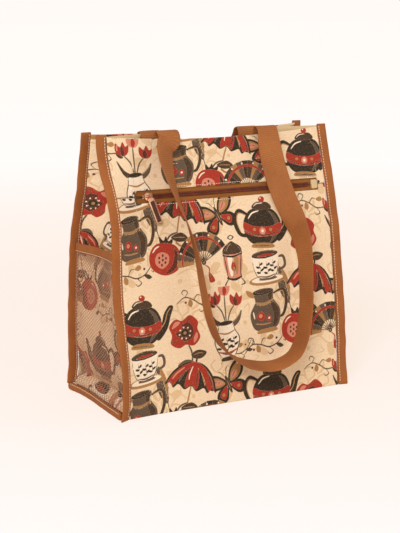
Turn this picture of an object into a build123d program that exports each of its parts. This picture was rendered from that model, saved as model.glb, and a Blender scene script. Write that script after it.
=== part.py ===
# Shopper bag of woven tapestry: a zip pocket in the front, a mesh bottle pocket on each side, two webbing handles.
# Millimetres. Origin at the middle of the base on the floor, +Z up, the front with the zip faces -Y.
from build123d import *
import math
import os

# Size of the bag
bag_width = 314.0
bag_depth = 155.0
bag_height = 340.0

# Cloth and seams
cloth = 1.4
pocket_cloth = 0.6
seam_gap = 0.3
panel_inset = 0.9
binding_width = 13.5
binding_thick = 3.2
binding_rise = 3.0
floor_gap = 0.4
side_stand = 2.0
side_pinch = 0.4
fold_room = 2.0
foot_room = 0.6
top_inset = 2.5

# Base, its stiffening board, and the rolled binding along each short end
base_thick = 1.6
board_thick = 2.5
board_inset = 6.0
base_binding_height = 10.0
base_binding_thick = 5.0
back_binding_foot = 22.0

# Mesh bottle pockets
pocket_height = 200.0
pocket_band = 12.0
pocket_band_thick = 2.4
net_thick = 0.9
net_strand = 3.0
net_columns = 5
net_rows = 6
net_margin = 9.0

# Zip of the front pocket
zip_height = 266.5
zip_window = 16.0
zip_left = -126.5
zip_right = 144.4
zip_tape_thick = 0.7
zip_tape_width = 15.0
zip_channel = 1.4
zip_pitch = 3.0
tooth_length = 1.6
tooth_reach = 1.4
tooth_thick = 1.8
spine_width = 0.8
stop_length = 2.2
end_tab_length = 11.0
end_tab_width = 12.0
end_tab_thick = 1.5
pocket_bag_depth = 150.0
pocket_bag_thick = 1.6

# Slider and pull
slider_at = -106.0
slider_length = 11.0
slider_nose = 10.0
slider_tail = 8.6
slider_plate = 1.2
slider_flange = 1.0
slider_clear = 0.3
post_width = 0.9
post_length = 3.0
bail_wire = 1.4
bail_rise = 2.6
bail_span = 7.0
bail_bend = 1.2
ring_outer = 4.4
ring_inner = 2.7
ring_thick = 1.2
pull_length = 37.0
pull_width = 8.6
pull_thick = 1.8
pull_rim = 1.5
pull_neck = 3.6
pull_tilt = 15.0
insert_thick = 1.2
insert_clear = 0.1

# Handles
webbing_width = 30.0
webbing_thick = 1.8
handle_place = 77.0
handle_end = 40.0
handle_rise = 10.0
handle_stand = {"front": 1.3, "back": 1.5}

half_width = bag_width / 2
half_depth = bag_depth / 2

# How far out each upright line of the walls stands: (share of the height, share of half the depth)
front_middle = [(0, 1.0), (0.10, 0.975), (0.25, 0.93), (0.42, 0.84), (0.60, 0.70), (0.72, 0.585), (0.84, 0.45),
                (0.92, 0.36), (1.0, 0.28)]
front_left = [(0, 1.05), (0.05, 1.12), (0.14, 1.14), (0.22, 1.10), (0.30, 1.02), (0.38, 0.95), (0.46, 0.87),
              (0.68, 0.855), (0.75, 0.79), (0.80, 0.68), (0.85, 0.54), (0.90, 0.40), (0.95, 0.32), (1.0, 0.30)]
front_right = [(0, 1.01), (0.10, 0.96), (0.21, 0.93), (0.31, 0.89), (0.41, 0.83), (0.51, 0.765), (0.63, 0.70),
               (0.71, 0.60), (0.80, 0.515), (0.885, 0.40), (0.96, 0.31), (1.0, 0.26)]
back_middle = [(0, 1.0), (0.10, 0.95), (0.25, 0.88), (0.42, 0.77), (0.60, 0.60), (0.78, 0.40), (0.90, 0.26),
               (1.0, 0.17)]
back_left = [(0, 0.97), (0.05, 0.91), (0.12, 0.86), (0.28, 0.855), (0.42, 0.81), (0.54, 0.765), (0.62, 0.71),
             (0.70, 0.60), (0.79, 0.46), (0.86, 0.40), (0.94, 0.32), (1.0, 0.27)]
back_right = [(0, 1.0), (0.15, 0.93), (0.30, 0.88), (0.45, 0.82), (0.60, 0.74), (0.75, 0.66), (0.88, 0.58),
              (1.0, 0.53)]
leans = {"front": (front_left, front_middle, front_right), "back": (back_left, back_middle, back_right)}
outward = {"front": -1, "back": 1}
hands = {"left": -1, "right": 1}

# How far in from its side edges a panel's corner shape reaches, and how its top edge sags and bows out
corner_reach = {"front": (60.0, 60.0), "back": (90.0, 110.0)}
top_sag = {"front": 6.5, "back": 12.0}
top_bow = {"front": 8.0, "back": 0.0}

# Turn of each upright binding out of its panel's plane, in degrees, by share of the height
binding_turn = {
    ("front", "left"): [(0, 25), (0.15, 25), (0.35, 6), (1.0, 0)],
    ("front", "right"): [(0, 12), (0.06, 4), (1.0, 0)],
    ("back", "left"): [(0, 0), (1.0, 0)],
    ("back", "right"): [(0, 0), (1.0, 0)],
}

# Outer edge of the rolled binding beyond the panels' sides: (share of half the depth, millimetres)
base_edge = {
    "left": [(-1.0, 11.0), (-0.7, 10.0), (-0.15, 7.5), (0.2, 5.5), (0.65, 5.5), (0.9, 9.0), (1.02, 9.5)],
    "right": [(-1.0, 10.0), (-0.5, 7.0), (0, 6.0), (0.5, 7.0), (1.02, 9.5)],
}

# Side wall by share of the height: depth of its fold into the bag, and its set at the foot
side_fold = [(0, 0), (0.10, 1), (0.30, 5), (0.50, 12), (0.62, 20), (0.74, 34), (0.86, 50), (1.0, 58)]
side_foot = [(0, 2.0), (0.045, 0), (0.065, -4.0), (0.10, -3.5), (0.20, 0), (1.0, 0)]

# Mesh wall by share of the height: how far it stands off the side wall's edge, and how far it bows in
net_stand = [(0, 3.0), (0.07, 3.0), (0.15, 2.6), (0.30, 3.2), (1.0, 3.5)]
net_bow = [(0, 0), (0.15, 0), (0.35, 2), (0.59, 9), (1.0, 9)]

rows = [0, 0.03, 0.07, 0.12, 0.20, 0.28, 0.36, 0.44, 0.52, 0.60, 0.68, 0.74, 0.79, 0.84, 0.89, 0.94, 1.0]
columns = [-1, -0.93, -0.84, -0.74, -0.62, -0.45, -0.2, 0.05, 0.3, 0.55, 0.75, 0.9, 1]
side_columns = [0, 0.06, 0.16, 0.28, 0.4, 0.5, 0.6, 0.72, 0.84, 0.94, 1]
side_rows = [0.045, 0.065, 0.09] + rows[3:]
net_places = [0, 0.27, 0.52, 0.77, 1]
net_stops = [0.045, 0.08, 0.153, 0.287, 0.423]

# Hanging part of each handle: (x, y, z, turn of the webbing's width about upright, its rise), in degrees
front_loop = [
    (-80, -42, 327, 25, 0), (-82, -49, 303, 42, 0), (-77, -60, 269, 56, 0), (-66, -70, 232, 68, 0),
    (-60, -79, 196, 75, 0), (-55, -88, 150, 79, 0), (-48, -94, 111, 84, 2), (-38, -96, 87, 88, 8),
    (-23, -97, 69, 90, 14), (-5, -98, 57, 90, 15), (16, -98, 50, 90, 15), (36, -98, 47, 90, 12),
    (56, -97, 49, 90, 6), (73, -97, 57, 91, 0), (85, -95, 74, 92, -4), (93, -92, 106, 92, -4),
    (97, -86, 148, 93, 0), (99, -79, 184, 99, 0), (96, -73, 208, 115, 0), (88, -67, 231, 138, 0),
    (79, -58, 258, 149, 0), (71, -49, 292, 156, 0), (66, -43, 325, 168, 0),
]
back_loop = [
    (-79, 40, 322, -12, 0), (-81, 50, 295, -30, 0), (-78, 60, 262, -50, 0), (-70, 71, 222, -68, 0),
    (-62, 81, 178, -80, 0), (-54, 90, 132, -86, 0), (-43, 95, 98, -90, -4), (-24, 97, 74, -90, -8),
    (0, 98, 63, -90, -10), (24, 97, 66, -90, -8), (46, 96, 82, -92, -4), (60, 92, 112, -96, 0),
    (70, 85, 155, -104, 0), (77, 76, 200, -118, 0), (80, 66, 244, -135, 0), (79, 55, 285, -152, 0),
    (75, 45, 318, -168, 0),
]


def along(stations, share):
    """Value at a share of the way through a list of (share, value) stations."""
    for (start, low), (end, high) in zip(stations, stations[1:]):
        if share <= end:
            return low + (high - low) * max(share - start, 0) / (end - start)
    return stations[-1][1]


def ease(value):
    """A share held between none and all."""
    return min(max(value, 0.0), 1.0)


def share_of(height):
    """The share of the bag's height at which a wall reaches a height."""
    return (height - floor_gap) / (bag_height - floor_gap)


def wall_y(side, x, share):
    """Distance of a panel's outer face from the middle plane, at a place along it and a share of its height."""
    left, middle, right = (half_depth * along(lean, share) for lean in leans[side])
    reach_left, reach_right = corner_reach[side]
    near_left = (1 - ease((x + half_width) / reach_left)) ** 2
    near_right = (1 - ease((half_width - x) / reach_right)) ** 2
    bow = top_bow[side] * (1 - (x / half_width) ** 2) * ease((share - 0.84) / 0.16)
    return outward[side] * (middle + (left - middle) * near_left + (right - middle) * near_right + bow)


def wall_point(side, across, share, inward=0.0):
    """A point on a panel: across runs from -1 at its left edge to 1 at its right edge."""
    x = across * (half_width - top_inset * share ** 2)
    sag = top_sag[side] * (1 - across ** 2) * ease((share - 0.86) / 0.14)
    z = floor_gap + (bag_height - floor_gap) * share - sag
    return Vector(x, wall_y(side, x, share) - outward[side] * inward, z)


def edge_point(side, name, share):
    """The middle of the cloth at a panel's left or right edge."""
    return wall_point(side, hands[name], share, cloth / 2)


def facets(a, b, c, d):
    """The two flat halves of a four-sided patch."""
    return [Face(Wire.make_polygon([a, b, c])), Face(Wire.make_polygon([a, c, d]))]


def skin(rings):
    """A solid of flat facets through rings of points, each ring going along one face and back along the other."""
    count = len(rings[0])
    faces = []
    for ring, following in zip(rings, rings[1:]):
        for k in range(count):
            after = (k + 1) % count
            faces += facets(ring[k], ring[after], following[after], following[k])
    for ring in (rings[0], rings[-1]):
        for k in range(count // 2 - 1):
            faces += facets(ring[k], ring[k + 1], ring[count - 2 - k], ring[count - 1 - k])
    return Solid(Shell(faces))


def cloth_wall(grid, thick, out):
    """A sheet of cloth whose outer face runs through rows of points, with its thickness away from out."""
    out = Vector(*out)
    last_row, last = len(grid) - 1, len(grid[0]) - 1
    rings = []
    for i, line in enumerate(grid):
        inner = []
        for j, point in enumerate(line):
            over = line[min(j + 1, last)] - line[max(j - 1, 0)]
            up = grid[min(i + 1, last_row)][j] - grid[max(i - 1, 0)][j]
            normal = over.cross(up).normalized()
            inner.append(point - normal * math.copysign(thick, normal.dot(out)))
        rings.append(line + inner[::-1])
    return skin(rings)


def shares_between(low, high):
    """The shares of the height at which a wall is shaped, from low to high."""
    return [low] + [share for share in rows if low + 0.012 < share < high - 0.012] + [high]


def panel(side, low, high):
    """One wall of the bag between two shares of its height."""
    edge = 1 - panel_inset / half_width
    grid = [[wall_point(side, across * edge, share) for across in columns] for share in shares_between(low, high)]
    return cloth_wall(grid, cloth, (0, outward[side], 0))


def save(name, part):
    """Write one piece."""
    export_step(part, f"parts/{name}.step")


os.makedirs("parts", exist_ok=True)

# Frame of the zip: x along it, y up the panel, z out of the panel, with its origin on the panel's outer face
zip_rise = wall_point("front", 0, 0.82) - wall_point("front", 0, 0.74)
zip_frame = Plane(
    origin=wall_point("front", 0, share_of(zip_height)),
    x_dir=(1, 0, 0),
    z_dir=Vector(1, 0, 0).cross(zip_rise),
)
zip_middle = (zip_left + zip_right) / 2
zip_length = zip_right - zip_left
tape_front = -cloth - seam_gap
tape_back = tape_front - zip_tape_thick
teeth_front = tape_front + tooth_thick
teeth_start = slider_at - slider_length / 2 - slider_clear
teeth_end = zip_right - end_tab_length - slider_clear


def at_zip(part, x=0.0, up=0.0, out=0.0):
    """Set a part at its place in the zip's frame."""
    return zip_frame * Pos(x, up, out) * part


def zip_block(left, right, low, high, back, front):
    """A plain block between six planes of the zip's frame."""
    block = Box(right - left, high - low, front - back)
    return at_zip(block, (left + right) / 2, (low + high) / 2, (back + front) / 2)


# Panels
def front_panels():
    """The lower and the upper piece of the front, with the window of the zip between them."""
    window = zip_block(zip_left, zip_right, -zip_window / 2, zip_window / 2, -bag_depth, bag_depth)
    below = zip_block(-bag_width, bag_width, -2 * bag_height, -seam_gap / 2, -bag_depth, bag_depth)
    above = zip_block(-bag_width, bag_width, seam_gap / 2, 2 * bag_height, -bag_depth, bag_depth)
    lower = panel("front", 0, 0.9) & below
    upper = panel("front", 0.68, 1) & above
    return lower - window, upper - window


front_lower_panel, front_upper_panel = front_panels()
save("front_lower_panel", front_lower_panel)
save("front_upper_panel", front_upper_panel)
save("back_panel", panel("back", 0, 1))


# Base
def end_x(name, y, inset=0.0):
    """How far out the rolled binding at one end of the base reaches, at a distance from the middle plane."""
    return half_width + along(base_edge[name], y / half_depth) - inset


def base_outline(inset, end_inset):
    """The outline of the base inside the front and back panels and the rolled bindings."""
    sides = {}
    for side in outward:
        sides[side] = [wall_point(side, across * 0.97, 0, cloth + seam_gap + inset) for across in columns]
    points = {}
    for name, hand in hands.items():
        near = sides["front"][0 if hand < 0 else -1]
        far = sides["back"][0 if hand < 0 else -1]
        middle = [Vector(hand * end_x(name, y, end_inset), y, near.Z) for y in (-50, -25, 0, 25, 50)]
        near_end = Vector(hand * end_x(name, near.Y, end_inset), near.Y, near.Z)
        far_end = Vector(hand * end_x(name, far.Y, end_inset), far.Y, near.Z)
        points[name] = [near_end] + middle + [far_end]
    front = Spline(*sides["front"])
    back = Spline(*sides["back"])
    corners = [Line(points[name][0], sides["front"][0 if name == "left" else -1]) for name in hands]
    corners += [Line(points[name][-1], sides["back"][0 if name == "left" else -1]) for name in hands]
    ends = [Spline(*points[name]) for name in hands]
    return make_face([front, back] + corners + ends)


def base_plate(inset, low, thick, end_inset):
    """A flat plate with the base's outline."""
    face = base_outline(inset, end_inset)
    return Pos(0, 0, low - floor_gap) * extrude(face, thick, dir=(0, 0, 1))


binding_inner = base_binding_thick + seam_gap
save("base_panel", base_plate(0, 0, base_thick, binding_inner))
board_low = base_thick + 0.1
save("base_board", base_plate(board_inset, board_low, board_thick, binding_inner + board_inset))


# Bindings: folded tape round the seams, as a profile of (reach from the seam, height off its middle)
tape_half = binding_thick / 2
tape_fold = [
    (0, -tape_half * 0.7), (1.5, -tape_half), (binding_width - 1.5, -tape_half), (binding_width, -tape_half / 3),
    (binding_width, tape_half / 3), (binding_width - 1.5, tape_half), (1.5, tape_half), (0, tape_half * 0.7),
]


def edge_binding(side, name):
    """The binding that stands along one upright corner, out from the panel's side edge."""
    start = 0 if side == "front" else share_of(back_binding_foot)
    shares = shares_between(start, 1)
    rings = []
    for share, rise in [(share, 0) for share in shares] + [(1, binding_rise)]:
        turn = math.radians(along(binding_turn[side, name], share))
        over = Vector(hands[name] * math.cos(turn), outward[side] * math.sin(turn), 0)
        foot = edge_point(side, name, share) + Vector(0, 0, rise)
        rings.append([foot + over * reach + over.cross(Vector(0, 0, 1)) * proud for reach, proud in tape_fold])
    return skin(rings)


def base_binding(name):
    """The rolled binding along one end of the base, behind the front corner's binding."""
    hand = hands[name]
    front = edge_point("front", name, 0).Y + binding_thick / 2 + seam_gap
    back = half_depth * 1.02
    half_thick, half_high, corner = base_binding_thick / 2, base_binding_height / 2, base_binding_thick / 3
    profile = [(half_thick, -half_high + corner), (half_thick, half_high - corner), (half_thick - corner, half_high),
               (corner - half_thick, half_high), (-half_thick, half_high - corner), (-half_thick, corner - half_high),
               (corner - half_thick, -half_high), (half_thick - corner, -half_high)]
    count = 9
    rings = []
    for step in range(count + 1):
        y = front + (back - front) * step / count
        middle = Vector(hand * end_x(name, y, half_thick), y, half_high)
        rings.append([middle + Vector(hand * out, 0, up) for out, up in profile])
    return skin(rings)


for side_name in outward:
    for hand_name in hands:
        save(f"{side_name}_{hand_name}_binding", edge_binding(side_name, hand_name))
for hand_name in hands:
    save(f"{hand_name}_base_binding", base_binding(hand_name))


# Side walls and their mesh pockets
side_start = share_of(base_binding_height + seam_gap)


def seam_y(side, name, share, gap):
    """Where a side wall meets the binding of a panel's side edge."""
    turn = math.radians(along(binding_turn[side, name], share))
    reach = binding_thick / 2 / math.cos(turn) + gap
    return edge_point(side, name, share).Y - outward[side] * reach


def side_x(name, y, share, place):
    """How far out a side wall stands at a share of its width and of the height."""
    upright = half_width - top_inset * share ** 2 + side_stand + along(side_foot, share)
    fold = along(side_fold, share) * math.sin(math.pi * place) ** 0.9
    ledge = ease(1 - (share - side_start) / 0.03) ** 2
    return (upright - fold) * (1 - ledge) + end_x(name, y, base_binding_thick - 0.7) * ledge


def net_x(name, y, share, place):
    """How far out the mesh wall stands."""
    edge = half_width + side_stand + along(net_stand, share)
    bow = along(net_bow, share) * math.sin(math.pi * place)
    ledge = ease(1 - (share - side_start) / 0.05) ** 2
    return (edge - bow) * (1 - ledge) + end_x(name, y, 0.2) * ledge


def side_grid(name, low, high, reach, gap, stops=side_rows, places=side_columns):
    """Rows of points over a side wall, from its front seam to its back seam."""
    grid = []
    shares = [low] + [share for share in stops if low + 0.01 < share < high - 0.01] + [high]
    for share in shares:
        room = gap + fold_room * ease((share - 0.45) / 0.3) + foot_room * ease(1 - share / 0.2)
        front = seam_y("front", name, share, room)
        back = seam_y("back", name, share, room)
        z = floor_gap + (bag_height - floor_gap) * share
        middle = (front + back) / 2
        line = []
        for place in places:
            narrow = side_pinch * ease((share - 0.5) / 0.4) * math.sin(math.pi * place) ** 0.5
            y = middle + (back - front) * (place - 0.5) * (1 - narrow)
            line.append(Vector(hands[name] * reach(name, y, share, place), y, z))
        grid.append(line)
    return grid


def side_wall(name):
    """The cloth of one side, folded in towards its top."""
    return cloth_wall(side_grid(name, side_start, 1, side_x, seam_gap + 0.3), cloth, (hands[name], 0, 0))


def net_gaps(name, low, high):
    """Prisms for the diamond gaps of a mesh wall."""
    top = floor_gap + (bag_height - floor_gap) * high
    bottom = base_binding_height + net_margin + 4
    front = max(seam_y("front", name, share, 0) for share in shares_between(low, high)) + net_margin
    back = min(seam_y("back", name, share, 0) for share in shares_between(low, high)) - net_margin
    step_y = (back - front) / net_columns
    step_z = (top - net_margin - bottom) / net_rows
    gap = Polygon(
        (0, -(step_z - net_strand) / 2), ((step_y - net_strand) / 2, 0),
        (0, (step_z - net_strand) / 2), (-(step_y - net_strand) / 2, 0),
    )
    places = []
    for row in range(2 * net_rows - 1):
        shift = row % 2
        for column in range(net_columns - shift):
            places.append(Pos(front + step_y * (column + 0.5 + shift / 2), bottom + step_z * (row / 2 + 0.5)))
    return [extrude(Plane.YZ * place * gap, bag_width, both=True) for place in places]


def mesh_pocket(name):
    """The mesh wall of one bottle pocket."""
    high = share_of(pocket_height - pocket_band - seam_gap)
    grid = side_grid(name, side_start, high, net_x, seam_gap + 0.3, net_stops, net_places)
    face = Face.make_surface_from_array_of_points(grid, tol=0.05)
    wall = Solid.thicken(face, -net_thick, normal_override=(hands[name], 0, 0))
    return wall - net_gaps(name, side_start, high)


def pocket_binding(name):
    """The tape folded over the top of the mesh."""
    low = share_of(pocket_height - pocket_band)
    high = share_of(pocket_height)
    proud = (pocket_band_thick - net_thick) / 2

    def tape_x(end, y, share, place):
        return net_x(end, y, share, place) + proud

    grid = side_grid(name, low, high, tape_x, seam_gap + 0.3, net_stops, net_places)
    return cloth_wall(grid, pocket_band_thick, (hands[name], 0, 0))


for hand_name in hands:
    save(f"{hand_name}_gusset", side_wall(hand_name))
    save(f"{hand_name}_pocket_mesh", mesh_pocket(hand_name))
    save(f"{hand_name}_pocket_binding", pocket_binding(hand_name))


# Handles
def over_edge(side, x):
    """Stations of a handle from its sewn end, up inside the panel, over its top edge and out."""
    inward = cloth + handle_stand[side] + webbing_thick / 2
    across = x / half_width
    top = wall_point(side, across, 1, inward)
    sewn = [wall_point(side, across, share_of(bag_height - depth), inward) for depth in (handle_end, handle_end / 2)]
    out = outward[side]
    crest = [(0, 1), (1.2, 5.5), (5.5, handle_rise), (10.5, 8.0), (14.0, 2.0)]
    return sewn + [top + Vector(0, out * reach, rise) for reach, rise in crest]


def between(before, start, end, after):
    """The point halfway along a smooth run from start to end."""
    return (start + end) * 0.5625 - (before + after) * 0.0625


def smoothed(values):
    """The values with a new one between each two, on a smooth run through them."""
    last = len(values) - 1
    out = [values[0]]
    for i in range(last):
        out.append(between(values[max(i - 1, 0)], values[i], values[i + 1], values[min(i + 2, last)]))
        out.append(values[i + 1])
    return out


def ribbon(centres, widths):
    """Flat webbing through centres, each with the direction of its width."""
    centres, widths = smoothed(centres), smoothed(widths)
    rings = []
    for i, centre in enumerate(centres):
        run = (centres[min(i + 1, len(centres) - 1)] - centres[max(i - 1, 0)]).normalized()
        across = (widths[i] - run * widths[i].dot(run)).normalized()
        half_across = across * (webbing_width / 2)
        half_thick = across.cross(run) * (webbing_thick / 2)
        rings.append([centre - half_across - half_thick, centre + half_across - half_thick,
                      centre + half_across + half_thick, centre - half_across + half_thick])
    return skin(rings)


def handle(side, loop):
    """One handle, sewn inside the panel at both ends, with its loop hanging outside."""
    start = over_edge(side, -handle_place)
    end = over_edge(side, handle_place - 9)
    centres = start + [Vector(*place[:3]) for place in loop] + list(reversed(end))
    widths = [Vector(1, 0, 0)] * len(start)
    for *_, turn, rise in loop:
        turn, rise = math.radians(turn), math.radians(rise)
        widths.append(Vector(math.cos(rise) * math.cos(turn), math.cos(rise) * math.sin(turn), math.sin(rise)))
    widths += [Vector(-1, 0, 0)] * len(end)
    return ribbon(centres, widths)


save("front_handle", handle("front", front_loop))
save("back_handle", handle("back", back_loop))


# Zip: two tapes, two rows of teeth, stops and an end tab
def teeth_row(hand):
    """One row of teeth on its spine, above (1) or below (-1) the zip's middle line."""
    tip = zip_channel / 2
    root = tip + tooth_reach
    low, high = sorted((hand * root, hand * (root + spine_width)))
    spine = zip_block(teeth_start, teeth_end, low, high, tape_front, teeth_front)
    count = int((teeth_end - teeth_start) / zip_pitch)
    first = teeth_start + zip_pitch / 2
    middle = (tip + root) / 2
    places = [Pos(first + zip_pitch * i, hand * middle) for i in range(count)]
    profile = Sketch() + [place * Rectangle(tooth_length, tooth_reach) for place in places]
    teeth = extrude(zip_frame * Pos(0, 0, tape_front) * profile, tooth_thick, dir=zip_frame.z_dir)
    return spine + teeth


def zip_tape(hand):
    """The woven tape behind one lip of the window."""
    low, high = sorted((hand * zip_channel / 2, hand * (zip_channel / 2 + zip_tape_width)))
    overlap = 6.0
    return zip_block(zip_left - overlap, zip_right + overlap, low, high, tape_back, tape_front)


def top_stops():
    """Two metal stops that end the zip at its closed end."""
    left = teeth_start - stop_length - slider_clear
    reach = zip_channel / 2 + tooth_reach
    return [zip_block(left, left + stop_length, *sorted((hand * zip_channel / 2, hand * reach)),
                      tape_front, teeth_front) for hand in (-1, 1)]


save("zip_upper_tape", zip_tape(1))
save("zip_lower_tape", zip_tape(-1))
save("zip_upper_teeth", teeth_row(1))
save("zip_lower_teeth", teeth_row(-1))
save("zip_top_stops", Compound(top_stops()))
save("zip_end_tab", zip_block(zip_right - end_tab_length, zip_right - seam_gap, -end_tab_width / 2,
                              end_tab_width / 2, tape_front, tape_front + end_tab_thick))


# Slider and pull
front_plate = teeth_front + slider_clear
back_plate = tape_back - slider_clear
bail_height = front_plate + slider_plate + bail_rise


def plate_outline():
    """The slider's outline: a broad rounded nose at the left and a narrower tail."""
    half = slider_length / 2
    outline = Polygon((-half, -slider_nose / 2 + 2), (-half + 3, -slider_nose / 2), (half, -slider_tail / 2),
                      (half, slider_tail / 2), (-half + 3, slider_nose / 2), (-half, slider_nose / 2 - 2),
                      align=None)
    return fillet(outline.vertices(), 1.2)


def slider():
    """Two plates joined by a post at the nose, lips that hold the teeth, and the bail for the pull."""
    front = Pos(0, 0, front_plate) * extrude(plate_outline(), slider_plate)
    front = chamfer(front.faces().sort_by(Axis.Z)[-1].edges(), 0.3)
    back = Pos(0, 0, back_plate - slider_plate) * extrude(plate_outline(), slider_plate)
    post_height = front_plate - back_plate + slider_plate
    post = Pos(-slider_length / 2 + post_length / 2 + 0.8, 0, (front_plate + back_plate) / 2)
    body = front + back + post * Box(post_length, post_width, post_height)
    lip_height = front_plate - tape_front - slider_clear
    lip_at = zip_channel / 2 + tooth_reach + spine_width + slider_clear + slider_flange / 2
    for hand in (-1, 1):
        lip = Box(slider_length - 5, slider_flange, lip_height + 0.2)
        body += Pos(0.5, hand * lip_at, front_plate - lip_height / 2 + 0.1) * lip
    low = front_plate + slider_plate - 0.3
    half = bail_span / 2
    path = FilletPolyline((-half, 0, low), (-half, 0, bail_height), (half, 0, bail_height), (half, 0, low),
                          radius=bail_bend)
    body += sweep(Plane((-half, 0, low), z_dir=(0, 0, 1)) * RegularPolygon(bail_wire / 2, 8), path=path)
    return body


def pull_plate():
    """The pull's rim with its neck and the ring that rides on the bail, along -Y from the bail."""
    tip = pull_length - 2.0
    neck = ring_outer / 2 - 0.4
    shoulder = neck + 3.0
    outline = Polygon((-pull_neck / 2, -neck), (-pull_width / 2, -shoulder), (-pull_width / 2, -tip),
                      (pull_width / 2, -tip), (pull_width / 2, -shoulder), (pull_neck / 2, -neck), align=None)
    rim = extrude(fillet(outline.vertices().sort_by(Axis.Y)[:4], 1.0), pull_thick / 2, both=True)
    rim = chamfer(rim.faces().sort_by(Axis.Z)[-1].edges(), 0.3)
    ring = Rot(0, 90, 0) * (Circle(ring_outer / 2) - Circle(ring_inner / 2))
    return rim - pull_window(0) + extrude(ring, ring_thick / 2, both=True)


def pull_window(clear):
    """The opening in the rim that the insert fills."""
    tip = pull_length - 2.0
    shoulder = ring_outer / 2 + 3.0
    length = tip - shoulder - 2 * pull_rim - 2 * clear
    width = pull_width - 2 * pull_rim - 2 * clear
    thick = insert_thick if clear else bag_depth
    return Pos(0, -(tip + shoulder) / 2, 0) * extrude(RectangleRounded(width, length, 0.8), thick / 2, both=True)


at_bail = Rot(0, 0, pull_tilt)
save("zip_slider", at_zip(slider(), slider_at))
save("zip_pull", at_zip(at_bail * pull_plate(), slider_at, 0, bail_height))
save("zip_pull_insert", at_zip(at_bail * pull_window(insert_clear), slider_at, 0, bail_height))


# Bag of the zip pocket
def pocket_bag():
    """The flat bag of the zip pocket, hung from the zip's tapes behind the front panel."""
    fronts = []
    low = share_of(zip_height - pocket_bag_depth)
    high = share_of(zip_height - zip_window / 2 - 1.5)
    count = 5
    for step in range(count + 1):
        share = low + (high - low) * step / count
        fronts.append(wall_point("front", 0, share, cloth + 2.2))
    backs = [point + Vector(0, pocket_bag_thick, 0) for point in reversed(fronts)]
    profile = make_face([Spline(*fronts), Line(fronts[-1], backs[0]), Spline(*backs), Line(backs[-1], fronts[0])])
    hung = Pos(zip_middle, 0, 0) * extrude(profile, zip_length / 2 - 2, both=True)
    behind = back_plate - slider_plate - 0.6
    back_layer = zip_block(zip_left + 2, zip_right - 2, -13, zip_tape_width, behind - pocket_cloth, behind)
    seam = zip_block(zip_left + 2, zip_right - 2, zip_tape_width - 3, zip_tape_width, behind - 0.1, tape_back)
    return hung + back_layer + seam


save("zip_pocket_bag", pocket_bag())
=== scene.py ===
# %% [markdown]
# # A shopper bag of woven tapestry
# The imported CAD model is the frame: every dressed piece below stands where its CAD node stands, in metres, with the
# front facing -Y and the floor at z = 0. The bag is soft, so nearly every node gets a finer piece that replaces it.
# Shapes are worked out in millimetres, as a maker would measure them, and become metres when a mesh is made.

# %% Load the frame
import math

import bpy
import numpy as np
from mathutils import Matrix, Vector
from mathutils.bvhtree import BVHTree


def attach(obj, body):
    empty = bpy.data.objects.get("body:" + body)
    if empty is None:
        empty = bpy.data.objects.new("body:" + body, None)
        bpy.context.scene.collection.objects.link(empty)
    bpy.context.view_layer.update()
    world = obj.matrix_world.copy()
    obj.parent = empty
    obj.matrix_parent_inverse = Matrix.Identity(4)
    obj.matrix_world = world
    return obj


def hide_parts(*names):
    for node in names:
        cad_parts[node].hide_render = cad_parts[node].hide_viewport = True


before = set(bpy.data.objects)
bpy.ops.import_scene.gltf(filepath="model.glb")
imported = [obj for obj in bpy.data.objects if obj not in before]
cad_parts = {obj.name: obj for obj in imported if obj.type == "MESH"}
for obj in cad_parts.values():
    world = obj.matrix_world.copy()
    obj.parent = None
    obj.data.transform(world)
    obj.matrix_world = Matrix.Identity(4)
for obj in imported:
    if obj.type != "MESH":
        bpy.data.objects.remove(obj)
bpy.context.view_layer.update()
MM = 0.001
print("nodes in the frame:", len(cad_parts))

# %% [markdown]
# ## Camera and stage
# A long lens from a little above shows the bag's front and its left side with little perspective. The floor is one
# wide pale plane. Seen by the camera it glows a little, so that it stays near white and still holds a soft, warm
# shadow, while the light that reaches the bag comes only from the world and two broad, soft lamps. Close to the bag
# the glow is warmer: a painted reflection of the bag's own colour thrown back on the floor, which fades to plain far
# away.

# %% Camera
camera = bpy.data.objects.new("camera", bpy.data.cameras.new("camera"))
bpy.context.scene.collection.objects.link(camera)
bpy.context.scene.camera = camera
camera.data.sensor_width = 36.0
camera.data.lens = 90.65
camera.location = (-0.8500, -1.4912, 0.4990)
aim = Vector((-0.01107, 0.0, 0.16347)) - camera.location
camera.rotation_mode = "QUATERNION"
camera.rotation_quaternion = aim.to_track_quat("-Z", "Y")
bpy.context.scene.view_settings.view_transform = "Standard"
print("camera at", tuple(round(v, 3) for v in camera.location), "with a lens of", camera.data.lens, "mm")


# %% Short helpers for node trees
def colour(code):
    """A hex colour as the linear values that a shader takes."""
    parts = [int(code[i:i + 2], 16) / 255 for i in (1, 3, 5)]
    return tuple(p / 12.92 if p < 0.04045 else ((p + 0.055) / 1.055) ** 2.4 for p in parts) + (1.0,)


def add(tree, kind, inputs=(), **settings):
    """A new node. Inputs are (socket name or number, value or the socket that feeds it)."""
    made = tree.nodes.new(kind)
    for name, value in settings.items():
        setattr(made, name, value)
    for name, value in dict(inputs).items():
        if isinstance(value, bpy.types.NodeSocket):
            tree.links.new(value, made.inputs[name])
        else:
            made.inputs[name].default_value = value
    return made


def sums(tree, operation, first, second=0.0, third=None):
    """The result of one Math node."""
    inputs = {0: first, 1: second}
    if third is not None:
        inputs[2] = third
    return add(tree, "ShaderNodeMath", inputs, operation=operation).outputs[0]


def blended(tree, factor, first, second, mode="MIX"):
    """The result of one colour Mix node."""
    inputs = {0: factor, 6: first, 7: second}
    return add(tree, "ShaderNodeMix", inputs, data_type="RGBA", blend_type=mode).outputs[2]


def new_material(name):
    """A material with its tree cleared, and its output node."""
    made = bpy.data.materials.new(name)
    made.use_nodes = True
    made.node_tree.nodes.clear()
    return made, made.node_tree, made.node_tree.nodes.new("ShaderNodeOutputMaterial")


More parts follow.
